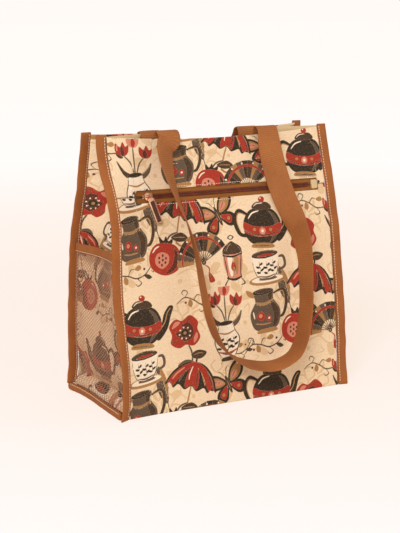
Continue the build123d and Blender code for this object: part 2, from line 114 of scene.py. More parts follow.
print("a hex colour as light:", tuple(round(v, 3) for v in colour("#b87239")))

# %% Floor
# Middle and reach, in metres, of the painted reflection: the floor's glow is warm near the bag and turns plain
# between these distances.
painted_reflection_middle, painted_reflection_from, painted_reflection_to = (0.25, 0.35, 0.0), 0.25, 2.2


def pale_ground(name, near, far, matt_tone):
    """A matt pale surface that glows for the camera and for glossy rays, with a painted warm reflection of the bag
    near it and plain far away.
    """
    made, tree, output = new_material(name)
    place = add(tree, "ShaderNodeNewGeometry").outputs["Position"]
    away = add(tree, "ShaderNodeVectorMath", {0: place, 1: painted_reflection_middle},
               operation="DISTANCE").outputs["Value"]
    plain = add(tree, "ShaderNodeMapRange", {"Value": away, "From Min": painted_reflection_from, "From Max": painted_reflection_to}).outputs[0]
    glow = blended(tree, plain, near, far)
    light = add(tree, "ShaderNodeEmission", {"Color": glow, "Strength": 1.0})
    shadow = add(tree, "ShaderNodeBsdfDiffuse", {"Color": matt_tone})
    seen = add(tree, "ShaderNodeAddShader", {0: light.outputs[0], 1: shadow.outputs[0]})
    plain_matt = add(tree, "ShaderNodeBsdfDiffuse", {"Color": colour("#fff6ec")})
    ray = add(tree, "ShaderNodeLightPath").outputs
    share = sums(tree, "MAXIMUM", ray["Is Camera Ray"], ray["Is Glossy Ray"])
    mixed = add(tree, "ShaderNodeMixShader", {0: share, 1: plain_matt.outputs[0], 2: seen.outputs[0]})
    tree.links.new(mixed.outputs[0], output.inputs[0])
    return made


floor_mesh = bpy.data.meshes.new("floor")
reach = 30.0
floor_mesh.from_pydata([(-reach, -reach, 0), (reach, -reach, 0), (reach, reach, 0), (-reach, reach, 0)], [],
                       [(0, 1, 2, 3)])
floor = bpy.data.objects.new("floor", floor_mesh)
bpy.context.scene.collection.objects.link(floor)
# The near glow paints the warm reflection of the bag's own colour on the floor; the far glow is the plain floor.
near_glow_painted_reflection, far_glow, matt_tone = (0.86, 0.70, 0.56, 1.0), (0.96, 0.86, 0.80, 1.0), (0.16, 0.25, 0.40, 1.0)
floor_mesh.materials.append(pale_ground("pale_floor", near_glow_painted_reflection, far_glow, matt_tone))
print("floor:", 2 * reach, "m wide")

# %% World
world = bpy.data.worlds.new("studio")
bpy.context.scene.world = world
world.use_nodes = True
sky = world.node_tree
sky.nodes.clear()
sky_ray = add(sky, "ShaderNodeLightPath")
ambient = add(sky, "ShaderNodeBackground", {"Color": colour("#ffe9d2"), "Strength": 0.5})
backdrop = add(sky, "ShaderNodeBackground", {"Color": colour("#fffaf6"), "Strength": 1.0})
seen = sums(sky, "MAXIMUM", sky_ray.outputs["Is Camera Ray"], sky_ray.outputs["Is Glossy Ray"])
sky_mix = add(sky, "ShaderNodeMixShader", {0: seen, 1: ambient.outputs[0], 2: backdrop.outputs[0]})
sky_out = add(sky, "ShaderNodeOutputWorld")
sky.links.new(sky_mix.outputs[0], sky_out.inputs[0])
print("world:", world.name, "with", len(sky.nodes), "nodes")


# %% Lamps
def lamp(name, place, target, power, size, tone):
    """A broad square lamp that faces a point."""
    made = bpy.data.objects.new(name, bpy.data.lights.new(name, "AREA"))
    made.data.energy = power
    made.data.size = size
    made.data.color = colour(tone)[:3]
    made.location = place
    made.rotation_mode = "QUATERNION"
    made.rotation_quaternion = (Vector(target) - Vector(place)).to_track_quat("-Z", "Y")
    bpy.context.scene.collection.objects.link(made)
    return made


lamp("key_lamp", (-2.2, -2.6, 2.6), (0, 0, 0.17), 98.0, 1.4, "#fff6ee")
lamp("fill_lamp", (2.4, -1.8, 1.6), (0, 0, 0.17), 14.0, 2.0, "#fff0e0")
print("lamps:", [made.name for made in bpy.data.lights])

# %% [markdown]
# ## The bag's own shape
# The walls are ruled by the same tables as the CAD: how far each upright line stands out at each share of the height.
# The tables give a coarse net of points. A smooth run through them, both ways, gives a fine cloth that lies on the
# CAD wall everywhere. Working it out as a table of weights keeps it quick for tens of thousands of points.

# %% Sizes, in millimetres
bag_width, bag_depth, bag_height = 314.0, 155.0, 340.0
half_width, half_depth = bag_width / 2, bag_depth / 2
cloth, seam_gap, panel_inset, floor_gap, top_inset = 1.4, 0.3, 0.9, 0.4, 2.5
binding_thick, binding_rise = 3.2, 3.0
side_stand, side_pinch, fold_room, foot_room = 2.0, 0.4, 2.0, 0.6
base_thick, base_binding_height, base_binding_thick = 1.6, 10.0, 5.0
pocket_height, pocket_wide, pocket_band, pocket_band_thick, net_thick = 200.0, 150.0, 12.0, 2.4, 0.9
outward = {"front": -1, "back": 1}
hands = {"left": -1, "right": 1}
print("bag:", bag_width, "wide,", bag_depth, "deep,", bag_height, "high")

# %% How the panels lean and sag, and how their bindings turn
leans = {
    "front": (
        [(0, 1.05), (0.05, 1.12), (0.14, 1.14), (0.22, 1.10), (0.30, 1.02), (0.38, 0.95), (0.46, 0.87),
         (0.68, 0.855),
         (0.75, 0.79), (0.80, 0.68), (0.85, 0.54), (0.90, 0.40), (0.95, 0.32), (1.0, 0.30)],
        [(0, 1.0), (0.10, 0.975), (0.25, 0.93), (0.42, 0.84), (0.60, 0.70), (0.72, 0.585), (0.84, 0.45),
         (0.92, 0.36), (1.0, 0.28)],
        [(0, 1.01), (0.10, 0.96), (0.21, 0.93), (0.31, 0.89), (0.41, 0.83), (0.51, 0.765), (0.63, 0.70),
         (0.71, 0.60), (0.80, 0.515), (0.885, 0.40), (0.96, 0.31), (1.0, 0.26)],
    ),
    "back": (
        [(0, 0.97), (0.05, 0.91), (0.12, 0.86), (0.28, 0.855), (0.42, 0.81), (0.54, 0.765), (0.62, 0.71),
         (0.70, 0.60), (0.79, 0.46), (0.86, 0.40), (0.94, 0.32), (1.0, 0.27)],
        [(0, 1.0), (0.10, 0.95), (0.25, 0.88), (0.42, 0.77), (0.60, 0.60), (0.78, 0.40), (0.90, 0.26), (1.0, 0.17)],
        [(0, 1.0), (0.15, 0.93), (0.30, 0.88), (0.45, 0.82), (0.60, 0.74), (0.75, 0.66), (0.88, 0.58), (1.0, 0.53)],
    ),
}
corner_reach = {"front": (60.0, 60.0), "back": (90.0, 110.0)}
top_sag = {"front": 6.5, "back": 12.0}
sag_start, sag_run = 0.86, 0.14
top_bow = {"front": 8.0, "back": 0.0}
bow_start, bow_run = 0.84, 0.16
binding_turn = {
    ("front", "left"): [(0, 25), (0.15, 25), (0.35, 6), (1.0, 0)],
    ("front", "right"): [(0, 12), (0.06, 4), (1.0, 0)],
    ("back", "left"): [(0, 0), (1.0, 0)],
    ("back", "right"): [(0, 0), (1.0, 0)],
}
print("stations of the leans:", {side: [len(lean) for lean in leans[side]] for side in leans})

# %% How the sides fold in and the foot turns out
base_edge = {
    "left": [(-1.0, 11.0), (-0.7, 10.0), (-0.15, 7.5), (0.2, 5.5), (0.65, 5.5), (0.9, 9.0), (1.02, 9.5)],
    "right": [(-1.0, 10.0), (-0.5, 7.0), (0, 6.0), (0.5, 7.0), (1.02, 9.5)],
}
side_fold = [(0, 0), (0.10, 1), (0.30, 5), (0.50, 12), (0.62, 20), (0.74, 34), (0.86, 50), (1.0, 58)]
side_foot = [(0, 2.0), (0.045, 1.5), (0.06, -2.0), (0.075, -10.5), (0.09, -9.0), (0.105, -6.5), (0.12, -4.5),
             (0.20, 0), (1.0, 0)]
net_stand = [(0, 4.0), (0.045, 4.0), (0.06, 1.0), (0.075, -7.0), (0.09, -5.5), (0.105, -3.0), (0.12, -1.0),
             (0.20, 2.8),
             (0.30, 3.2), (1.0, 3.5)]
net_bow = [(0, 0), (0.15, 0), (0.35, 2), (0.59, 9), (1.0, 9)]
rows = np.array([0, 0.03, 0.07, 0.12, 0.20, 0.28, 0.36, 0.44, 0.52, 0.60, 0.68, 0.74, 0.79, 0.84, 0.89, 0.94, 1.0])
columns = np.array([-1, -0.93, -0.84, -0.74, -0.62, -0.45, -0.2, 0.05, 0.3, 0.55, 0.75, 0.9, 1])
side_columns = np.array([0, 0.06, 0.14, 0.24, 0.36, 0.5, 0.64, 0.76, 0.86, 0.94, 1])
print("a side's deepest fold:", max(value for share, value in side_fold), "mm")


# %% Runs through tables
def along(stations, share):
    """Values at shares of the way through a list of (share, value) stations."""
    places, values = np.array(stations, float).T
    return np.interp(share, places, values)


def ease(value):
    """Shares held between none and all."""
    return np.clip(value, 0.0, 1.0)


def smooth_weights(knots, places):
    """How much each knot's value counts at each place, on a smooth run through the knots."""
    knots, places = np.asarray(knots, float), np.atleast_1d(np.asarray(places, float))
    count = len(knots)
    gaps = np.diff(knots)
    slopes = np.zeros((count, count))
    for i in range(count):
        if i in (0, count - 1):
            k = 0 if i == 0 else count - 2
            slopes[i, k], slopes[i, k + 1] = -1 / gaps[k], 1 / gaps[k]
        else:
            before, after = gaps[i - 1], gaps[i]
            slopes[i, i - 1] -= after / before / (before + after)
            slopes[i, i] += after / before / (before + after) - before / after / (before + after)
            slopes[i, i + 1] += before / after / (before + after)
    at = np.clip(np.searchsorted(knots, places, side="right") - 1, 0, count - 2)
    gap = gaps[at]
    t = (places - knots[at]) / gap
    unit = np.eye(count)
    return ((2 * t**3 - 3 * t**2 + 1)[:, None] * unit[at] + ((t**3 - 2 * t**2 + t) * gap)[:, None] * slopes[at]
            + (3 * t**2 - 2 * t**3)[:, None] * unit[at + 1] + ((t**3 - t**2) * gap)[:, None] * slopes[at + 1])


print("weights half-way from the first knot:", smooth_weights([0, 1, 3], 0.5).round(3))

# %% Points on the panels
def share_of(height):
    """The share of the bag's height at which a wall reaches a height."""
    return (height - floor_gap) / (bag_height - floor_gap)


def wall_y(side, x, share):
    """Distance of a panel's outer face from the middle plane."""
    left, middle, right = (half_depth * along(lean, share) for lean in leans[side])
    near_left = (1 - ease((x + half_width) / corner_reach[side][0])) ** 2
    near_right = (1 - ease((half_width - x) / corner_reach[side][1])) ** 2
    bow = top_bow[side] * (1 - (x / half_width) ** 2) * ease((share - bow_start) / bow_run)
    return outward[side] * (middle + (left - middle) * near_left + (right - middle) * near_right + bow)


def wall_point(side, across, share):
    """Points on a panel's outer face: across runs from -1 at its left edge to 1 at its right edge."""
    across, share = np.broadcast_arrays(np.asarray(across, float), np.asarray(share, float))
    x = across * (half_width - top_inset * share ** 2)
    sag = top_sag[side] * (1 - across ** 2) * ease((share - sag_start) / sag_run)
    z = floor_gap + (bag_height - floor_gap) * share - sag
    return np.stack([x, wall_y(side, x, share), z], -1)


coarse_walls = {side: wall_point(side, columns[None, :], rows[:, None]) for side in outward}


def on_wall(side, across, share):
    """Points on the smooth panel, for matching lists of across and share."""
    across, share = np.broadcast_arrays(np.asarray(across, float), np.asarray(share, float))
    flat_across, flat_share = across.ravel(), share.ravel()
    up, over = smooth_weights(rows, flat_share), smooth_weights(columns, flat_across)
    out = np.einsum("nr,rck,nc->nk", up, coarse_walls[side], over, optimize=True)
    return out.reshape(across.shape + (3,))


print("the front's top middle:", on_wall("front", 0.0, 1.0).round(1))

# %% Directions and edges
def unit(vectors):
    """The vectors at length 1."""
    return vectors / np.maximum(np.linalg.norm(vectors, axis=-1, keepdims=True), 1e-9)


def grid_normals(points):
    """Normals of a grid of points, by the right-hand rule from its columns to its rows."""
    return unit(np.cross(np.gradient(points, axis=1), np.gradient(points, axis=0)))


def edge_middle(side, name, share):
    """The middle of the cloth at a panel's left or right edge."""
    share = np.asarray(share, float)
    spot = wall_point(side, hands[name], rows) - np.array([0, outward[side] * cloth / 2, 0])
    return smooth_weights(rows, share) @ spot


print("front panel leans from", round(wall_y("front", 0.0, 0.0), 1), "to", round(wall_y("front", 0.0, 1.0), 1),
      "mm")

# %% [markdown]
# ## The woven picture
# Tapestry cloth carries its picture in its threads: every motif is built of flat fields of thread colour. Here each
# colour gets a signed distance, in millimetres, at every point of the fine cloth: above zero the thread shows. A
# shader cuts it at zero, so that edges stay crisp between points and no image is needed.

# %% Distances to shapes
def smooth_ring(points, closed=True, steps=6):
    """More points on a smooth run through the given ones."""
    points = np.asarray(points, float)
    count = len(points)
    if count < 3:
        return points
    pick = (lambda i: points[i % count]) if closed else (lambda i: points[min(max(i, 0), count - 1)])
    t = (np.arange(steps) / steps)[:, None]
    out = []
    for i in range(count if closed else count - 1):
        a, b, c, d = pick(i - 1), pick(i), pick(i + 1), pick(i + 2)
        out.append(0.5 * (2 * b + (c - a) * t + (2 * a - 5 * b + 4 * c - d) * t**2 + (3 * b - a - 3 * c + d) * t**3))
    return np.concatenate(out + ([] if closed else [points[-1:]]))


def ring_field(spots, ring):
    """Distance inside a closed outline, below zero outside it."""
    after = np.roll(ring, -1, 0)
    edge = after - ring
    away = spots[:, None] - ring[None]
    t = np.clip((away * edge).sum(-1) / np.maximum((edge**2).sum(-1), 1e-9), 0, 1)
    far = np.sqrt(((away - t[..., None] * edge)**2).sum(-1).min(1))
    rise = edge[:, 1] + np.where(edge[:, 1] == 0, 1e-9, 0)
    crossed = (ring[:, 1] <= spots[:, 1:]) != (after[:, 1] <= spots[:, 1:])
    past = spots[:, :1] < ring[:, 0] + (spots[:, 1:] - ring[:, 1]) * edge[:, 0] / rise
    return np.where((crossed & past).sum(1) % 2 == 1, far, -far)


def line_field(spots, line, wide):
    """Distance inside a drawn line that is wide in its middle and finer at its ends."""
    edge = line[1:] - line[:-1]
    away = spots[:, None] - line[None, :-1]
    t = np.clip((away * edge).sum(-1) / np.maximum((edge**2).sum(-1), 1e-9), 0, 1)
    far = np.sqrt(((away - t[..., None] * edge)**2).sum(-1))
    run = (np.arange(len(edge)) + t) / len(edge)
    return (wide / 2 * (0.55 + 0.45 * np.sin(np.pi * run)) - far).max(1)


def oval(x, y, wide, high):
    """Points of an ellipse."""
    a = np.linspace(0, 2 * np.pi, 20, endpoint=False)
    return np.stack([x + np.cos(a) * wide / 2, y + np.sin(a) * high / 2], -1)


print("an oval's middle lies", ring_field(np.zeros((1, 2)), oval(0, 0, 8, 6)).round(2), "mm inside it")

# %% [markdown]
# ## Motifs
# The motifs are plain things from a tea table and a garden. Each is a list of shapes about its own middle: a letter
# for the thread, a kind, and its points in millimetres. A blob is a smooth closed outline, an edge keeps its corners,
# an oval has a middle and two sizes, and a line ends with its width. A later shape covers an earlier one, so shading
# and highlights come last, and a motif that is alike on both sides gives one half. All are set in a half-drop repeat.

# %% Threads, kinds and two helpers
THREADS = "KGRDPTWBS"
BLOB, EDGE, LINE, OVAL = "blob", "edge", "line", "oval"


def mirrored(shapes):
    """The shapes, each followed by its mirror image across the upright middle line."""
    out = []
    for thread, kind, points, *rest in shapes:
        out.append((thread, kind, points, *rest))
        if kind == OVAL:
            x, y, wide, high = points
            out.append((thread, kind, (-x, y, wide, high), *rest))
        else:
            out.append((thread, kind, [(-x, y) for x, y in points], *rest))
    return out


def sprig(x, y, size):
    """A small leafed twig, as painted on china."""
    stalk = [(0, -0.9), (0.12, -0.2), (-0.05, 0.5), (0.1, 1.0)]
    leaves = [
        [(0.05, -0.5), (0.5, -0.45), (0.75, -0.1), (0.3, -0.15)],
        [(0.08, 0), (-0.4, -0.05), (-0.7, 0.3), (-0.25, 0.28)],
        [(0, 0.4), (0.42, 0.4), (0.6, 0.75), (0.2, 0.7)],
        [(0.05, -0.75), (-0.35, -0.85), (-0.65, -0.5), (-0.2, -0.5)],
    ]
    shapes = [("K", LINE, [(x + a * size, y + b * size) for a, b in stalk], 1.0)]
    return shapes + [("K", BLOB, [(x + a * size, y + b * size) for a, b in leaf]) for leaf in leaves]


# %% Teapot, cup and vase
teapot = [
    ("K", LINE, [(-18, 11), (-29, 15), (-34, 4), (-28, -9), (-17, -11)], 4.6),
    ("T", LINE, [(-19, 10), (-29, 12.6), (-31.6, 4), (-27, -7)], 1.1),
    ("K", BLOB, [(15, -8), (23, -1), (26, 10), (32, 18), (37, 17), (34, 8), (30, -6), (20, -17)]),
    ("T", LINE, [(20, -8), (27, 1), (30, 11), (34, 16)], 1.1),
    ("K", BLOB, [(-18, 13), (-8, 18), (8, 18), (18, 13), (24, 0), (20, -13), (10, -20), (-10, -20), (-20, -13),
                 (-24, 0)]),
    ("G", BLOB, [(8, 15), (16, 11), (21, 0), (17, -11), (9, -18), (14, -8), (16, 0), (13, 9)]),
    ("B", BLOB, [(-12, 18), (-7, 24), (7, 24), (12, 18), (0, 16)]),
    ("W", LINE, [(-10, 19.5), (-6, 22.5), (1, 23)], 1.1),
    ("R", OVAL, (0, 27, 7.4, 6.4)),
    ("W", OVAL, (-1.2, 28.2, 1.8, 1.5)),
    ("R", BLOB, [(-23, 3), (-12, -0.6), (0, -1.6), (12, -0.6), (23, 3), (22, -7), (11, -11), (0, -12), (-11, -11),
                 (-22, -7)]),
    ("D", LINE, [(-22, -5), (-10, -9.4), (0, -10.4), (10, -9.4), (22, -5)], 1.5),
    ("P", OVAL, (0, -6, 7.5, 7)), ("W", OVAL, (0, -6, 3, 3)),
    ("T", OVAL, (-10, -4.6, 3.6, 3)), ("T", OVAL, (10, -4.6, 3.6, 3)),
    ("W", LINE, [(-17, 7), (-12, 12.6), (-4, 15)], 1.5),
    ("T", BLOB, [(-10, -19), (10, -19), (13, -23.5), (-13, -23.5)]),
    ("B", LINE, [(-12, -21.5), (12, -21.5)], 1.1),
]
cup = [
    ("T", OVAL, (0, -16, 52, 12)), ("W", OVAL, (0, -15, 44, 7.6)), ("G", OVAL, (1, -14.6, 26, 4)),
    ("G", LINE, [(14, 7), (25, 9), (26, -3), (13, -7)], 3.4), ("W", LINE, [(15, 6), (23, 7), (24, -2)], 1.0),
    ("W", BLOB, [(-18, 14), (0, 9), (18, 14), (17, -1), (10, -13), (-10, -13), (-17, -1)]),
    ("K", OVAL, (0, 14, 37, 9)), ("B", OVAL, (0, 14.4, 32, 6)), ("R", OVAL, (1, 13, 24, 3)),
    *sprig(-9, -1, 8), *sprig(1, -2.5, 8), *sprig(10, -1, 7.5),
    ("D", LINE, [(-12, -10.5), (0, -12.6), (12, -10.5)], 1.8),
    ("K", LINE, [(-18, 13), (-17, -1), (-10, -13), (10, -13), (17, -1), (18, 13)], 1.2),
]
vase = [
    ("G", LINE, [(0, 6), (-3, 22), (-11, 33)], 1.8), ("G", LINE, [(1, 6), (2, 26), (3, 42)], 1.8),
    ("G", LINE, [(2, 6), (8, 20), (16, 28)], 1.8),
    ("B", BLOB, [(-2, 8), (-12, 14), (-20, 27), (-16, 12), (-8, 4)]),
    ("G", BLOB, [(4, 8), (14, 10), (24, 20), (20, 8), (10, 2)]), ("T", LINE, [(6, 7), (14, 10), (22, 17)], 1.1),
    ("R", BLOB, [(-11, 31), (-19, 37), (-18, 47), (-13, 42), (-9, 48), (-6, 42), (-2, 45), (-4, 35)]),
    ("D", BLOB, [(-11, 31), (-13, 36), (-11, 44), (-8, 36)]), ("P", LINE, [(-17, 38), (-16.6, 44)], 1.6),
    ("P", BLOB, [(3, 40), (-4, 46), (-3, 56), (1, 51), (5, 57), (8, 51), (12, 54), (10, 44)]),
    ("R", BLOB, [(3, 40), (1, 46), (4, 53), (7, 46)]),
    ("R", BLOB, [(16, 26), (10, 32), (11, 41), (16, 37), (20, 42), (23, 36), (27, 37), (24, 28)]),
    ("D", BLOB, [(17, 26), (14, 31), (17, 37), (20, 31)]),
    ("W", BLOB, [(-9, 8), (0, 5), (9, 8), (12, -2), (17, -13), (12, -28), (7, -34), (-7, -34), (-12, -28),
                 (-17, -13),
                 (-12, -2)]),
    ("K", OVAL, (0, 8, 20, 5.4)), ("T", LINE, [(-11.4, -2), (0, -5), (11.4, -2)], 2.2),
    *sprig(-9, -16, 8.5), *sprig(0, -18, 9.5), *sprig(9, -16, 8.5),
    ("R", LINE, [(-15.5, -19), (-13, -25), (0, -28), (13, -25), (15.5, -19)], 2.0),
    ("K", LINE, [(-10, -27), (0, -30), (10, -27)], 1.5),
    ("K", LINE, [(-9, 8), (-12, -2), (-17, -13), (-12, -28), (-7, -34)], 1.4),
    ("K", LINE, [(9, 8), (12, -2), (17, -13), (12, -28), (7, -34)], 1.4),
    ("B", BLOB, [(-8, -33), (8, -33), (9, -37), (-9, -37)]),
]
print("shapes: teapot", len(teapot), "cup", len(cup), "vase", len(vase))

# %% Parasol, poppy and butterfly
parasol = [
    ("T", LINE, [(0, 22), (0, -26), (3, -33), (9, -34), (11, -29)], 2.4), ("K", LINE, [(0, 27), (0, 34)], 2.4),
    ("K", BLOB, [(0, 28), (-15, 24), (-28, 12), (-35, -4), (-29, -1), (-23, -6), (-17, -1), (-8, -6), (0, -1),
                 (8, -6),
                 (17, -1), (23, -6), (29, -1), (35, -4), (28, 12), (15, 24)]),
    ("R", BLOB, [(0, 27), (-14, 22), (-26, 10), (-32, -2), (-28, 0), (-24, -3.5), (-15, 10)]),
    ("R", BLOB, [(0, 27), (-8, 12), (-8, -3.5), (0, 0.5), (8, -3.5), (8, 12)]),
    ("R", BLOB, [(0, 27), (14, 22), (26, 10), (32, -2), (28, 0), (24, -3.5), (15, 10)]),
    ("D", LINE, [(4, 20), (6, 8), (5, 0)], 1.8), ("D", LINE, [(18, 18), (25, 8), (28, 2)], 1.8),
    ("P", LINE, [(-14, 19), (-22, 11), (-26, 4)], 1.8), ("G", LINE, [(-11, 16), (-15, 8), (-17, 2)], 1.8),
    ("T", LINE, [(10, 16), (15, 8), (18, 2)], 1.4), ("W", LINE, [(-3, 22), (-5, 12), (-4.6, 6)], 1.4),
]
petals = [(0, 16), (-8, 20), (-18, 14), (-17, 3), (-21, -6), (-12, -14), (-2, -13), (8, -17), (18, -10), (17, 1),
          (20, 9),
          (12, 19)]
poppy = [
    ("G", LINE, [(0, -10), (3, -26), (-2, -44)], 2.2),
    ("B", BLOB, [(2, -26), (12, -24), (22, -30), (14, -35), (4, -32)]),
    ("T", LINE, [(4, -28), (12, -28), (18, -30)], 1.1),
    ("G", BLOB, [(1, -34), (-8, -30), (-19, -34), (-12, -41), (-2, -40)]),
    ("R", BLOB, petals),
    ("D", BLOB, [(0, 12), (-7, 13), (-12, 5), (-8, -3), (0, -9), (9, -6), (12, 3), (8, 11)]),
    ("R", BLOB, [(-2, 14), (-12, 11), (-11, 5), (-3, 6)]), ("P", BLOB, [(-15, 11), (-9, 17), (-3, 15), (-8, 12)]),
    ("P", BLOB, [(9, -14), (15, -9), (15, -3), (10, -8)]), ("D", LINE, [(4, 9), (9, 15), (11, 17)], 1.6),
    ("D", LINE, [(-12, -4), (-17, -6), (-18, -3)], 1.6), ("D", LINE, [(-3, -8), (-3, -12)], 1.6),
    ("K", OVAL, (0, 1, 11, 10)), ("T", OVAL, (0, 1, 4, 3.6)),
    *[("W", OVAL, (7.4 * math.cos(a), 1 + 6.8 * math.sin(a), 1.9, 1.9)) for a in np.arange(8) * math.pi / 4],
]
butterfly = mirrored([
    ("K", BLOB, [(1, 2), (8, 16), (20, 23), (29, 20), (27, 8), (16, 0)]),
    ("T", BLOB, [(4, 3), (10, 14), (20, 19), (25, 17), (23, 9), (15, 3)]),
    ("P", BLOB, [(6, 5), (11, 12), (17, 12), (15, 6)]), ("W", OVAL, (23, 18, 2.6, 2.2)),
    ("K", LINE, [(5, 4), (20, 15)], 1.1),
    ("K", BLOB, [(1, 1), (15, -1), (22, -9), (16, -19), (8, -17), (2, -6)]),
    ("R", BLOB, [(3, -1), (13, -4), (17, -9), (13, -15), (8, -12)]), ("T", OVAL, (12, -9, 4, 4)),
    ("K", LINE, [(1, 10), (4, 19), (8, 22)], 1.1),
]) + [("B", OVAL, (0, 0, 5, 26)), ("T", LINE, [(0, -8), (0, 6)], 1.2)]
print("shapes: parasol", len(parasol), "poppy", len(poppy), "butterfly", len(butterfly))


# %% Fan
def fan_gores():
    """Eleven leaves of an open fan with their sticks."""
    shapes = []
    for i in range(11):
        low, high = (math.radians(12 + (156 / 11) * (i + k)) for k in (0, 1))
        ring = [(14 * math.cos(low), 14 * math.sin(low)), (37 * math.cos(low), 37 * math.sin(low)),
                (37.5 * math.cos(high), 37.5 * math.sin(high)), (14 * math.cos(high), 14 * math.sin(high))]
        shapes.append(("KGTBKGTBKGT"[i], EDGE, ring))
        shapes.append(("B", LINE, [(0, 0), (36 * math.cos(low), 36 * math.sin(low))], 1.2))
    band = [(30 * math.cos(a), 30 * math.sin(a)) for a in np.radians(np.linspace(13, 167, 12))]
    dots = [("W", OVAL, (x * 1.13, y * 1.13, 2.4, 2.4)) for x, y in band[1:-1:2]]
    return shapes + [("R", LINE, band, 3.4)] + dots + [
        ("K", OVAL, (0, 0, 6, 6)), ("T", OVAL, (0, 0, 2.4, 2.4)), ("R", LINE, [(0, -3), (4, -9), (2, -14)], 1.6),
        ("R", BLOB, [(2, -13), (-2, -25), (6, -26)]), ("D", LINE, [(2, -15), (2, -25)], 1.1)]


print("shapes: fan", len(fan_gores()))

# %% Lantern, jug and pomegranate
lantern = mirrored([
    ("K", LINE, [(0, 33), (4, 36), (0, 39)], 1.5), ("K", LINE, [(2, 30), (12, 22), (14, 14)], 2.0),
    ("K", LINE, [(14, 14), (10, -16)], 2.2), ("K", LINE, [(5, 14), (4, -16)], 1.2),
    ("K", LINE, [(10, -18), (15, -25), (9, -27)], 1.8),
]) + [
    ("P", BLOB, [(-13, 14), (13, 14), (9, -16), (-9, -16)]),
    ("W", BLOB, [(-8, 10), (-1, 11), (-2, -12), (-6, -12)]),
    ("T", BLOB, [(2, 9), (8, 8), (6, -10), (3, -12)]), ("R", BLOB, [(0, 6), (-4, -3), (0, -9), (4, -3)]),
    ("T", OVAL, (0, -5, 3, 5)),
    ("K", LINE, [(-14, 14), (0, 11), (14, 14)], 2.6), ("K", LINE, [(-11, -16), (0, -19), (11, -16)], 3.2),
    ("K", LINE, [(13, 14), (9, -16)], 1.8), ("K", LINE, [(-13, 14), (-9, -16)], 1.8),
    ("K", LINE, [(0, 13), (0, -17)], 1.1),
    ("B", BLOB, [(-13, 16), (-7, 26), (0, 31), (7, 26), (13, 16), (0, 14)]),
    ("T", LINE, [(-9, 19), (-4, 26), (0, 28)], 1.2),
]
jug = [
    ("B", LINE, [(15, 16), (28, 18), (30, 4), (24, -10), (16, -12)], 4.0),
    ("T", LINE, [(17, 16), (27, 16), (28, 5)], 1.1),
    ("G", BLOB, [(-13, 20), (0, 17), (14, 20), (13, 10), (20, -3), (17, -18), (9, -24), (-10, -24), (-18, -18),
                 (-20, -3),
                 (-12, 10)]),
    ("B", BLOB, [(6, 16), (13, 18), (11, 9), (18, -3), (15, -17), (8, -22), (11, -8), (8, 4)]),
    ("K", OVAL, (0, 20, 29, 7)), ("T", BLOB, [(-14, 21), (-22, 25), (-20, 18), (-13, 15)]),
    ("B", OVAL, (1, 20.4, 23, 4)),
    ("T", LINE, [(-11.6, 9), (0, 6), (12, 9)], 2.6), ("K", LINE, [(-12, 6.6), (0, 3.6), (12.6, 6.6)], 1.1),
    ("R", BLOB, [(-6, -2), (-12, -7), (-6, -13), (-1, -8)]), ("P", OVAL, (-7, -7, 4.4, 4.4)),
    ("R", OVAL, (4, -11, 7, 7)),
    ("W", OVAL, (4, -11, 2.6, 2.6)), ("T", LINE, [(-14, -15), (-5, -17), (6, -17)], 1.3),
    ("W", LINE, [(-16, -1), (-15, -9)], 1.6),
    ("T", BLOB, [(-10, -23), (10, -23), (12, -27), (-12, -27)]),
]
pomegranate = [
    ("G", LINE, [(0, 16), (5, 24), (14, 28)], 2.0), ("B", BLOB, [(6, 22), (16, 18), (27, 22), (18, 28)]),
    ("T", LINE, [(9, 22), (17, 23), (23, 23)], 1.1),
    ("K", BLOB, [(-6, 14), (-8, 22), (-3, 18), (0, 23), (3, 18), (8, 21), (6, 14)]),
    ("R", BLOB, [(0, 16), (-13, 13), (-19, 1), (-15, -12), (0, -18), (15, -12), (19, 1), (13, 13)]),
    ("D", BLOB, [(10, 12), (16, 2), (12, -11), (2, -16), (9, -6), (11, 4)]),
    ("P", BLOB, [(-3, 6), (-10, 3), (-11, -6), (-3, -11), (4, -5), (4, 3)]),
    *[("D", OVAL, (x, y, 2.7, 3.5)) for x,
      y in ((-7, 0), (-3, 2.6), (1, 0), (-6.6, -4.6), (-2.6, -2), (0.6, -4.4), (-3.4, -7.4))],
    ("W", LINE, [(-15, 5), (-12, 9.6), (-8, 12)], 1.5),
]
print("shapes: lantern", len(lantern), "jug", len(jug), "pomegranate", len(pomegranate))

# %% Vine, feather and pale leaves
vine = [
    ("B", LINE, [(-34, -5), (-22, 4), (-8, 1), (4, -5), (18, -3), (30, 6)], 1.7),
    ("B", LINE, [(-22, 4), (-18, 11), (-24, 14), (-27, 10), (-24, 7)], 1.4),
    ("B", LINE, [(4, -5), (10, -12), (4, -15), (1, -11)], 1.4),
    ("B", LINE, [(30, 6), (34, 1), (31, -3), (28, 0)], 1.4), ("B", LINE, [(-8, 1), (-3, 8), (3, 7)], 1.4),
    ("T", BLOB, [(3, 7), (10, 11), (14, 7), (9, 4)]), ("T", BLOB, [(-14, 2), (-16, -6), (-11, -9), (-9, -3)]),
    ("D", OVAL, (-20, -3, 3.4, 3.4)), ("D", OVAL, (18, 4, 3.4, 3.4)),
    ("B", BLOB, [(16, -4), (21, -10), (27, -9), (22, -4)]),
]
feather = [
    ("G", BLOB, [(-3, -22), (-9, -8), (-9, 8), (-2, 24), (4, 30), (8, 20), (8, 4), (3, -12)]),
    ("T", BLOB, [(1, -14), (7, 2), (8, 18), (4, 28), (3, 8)]), ("W", LINE, [(-6, 12), (-1, 22)], 1.3),
    ("K", LINE, [(-4, -34), (-1, -14), (1, 6), (4, 29)], 1.5),
    *[("K", LINE, [(0, y), (-7, y + 6)], 1.1) for y in (-12, -3, 6, 15)],
    *[("B", LINE, [(1, y), (7, y + 6)], 1.1) for y in (-8, 2, 12)],
]
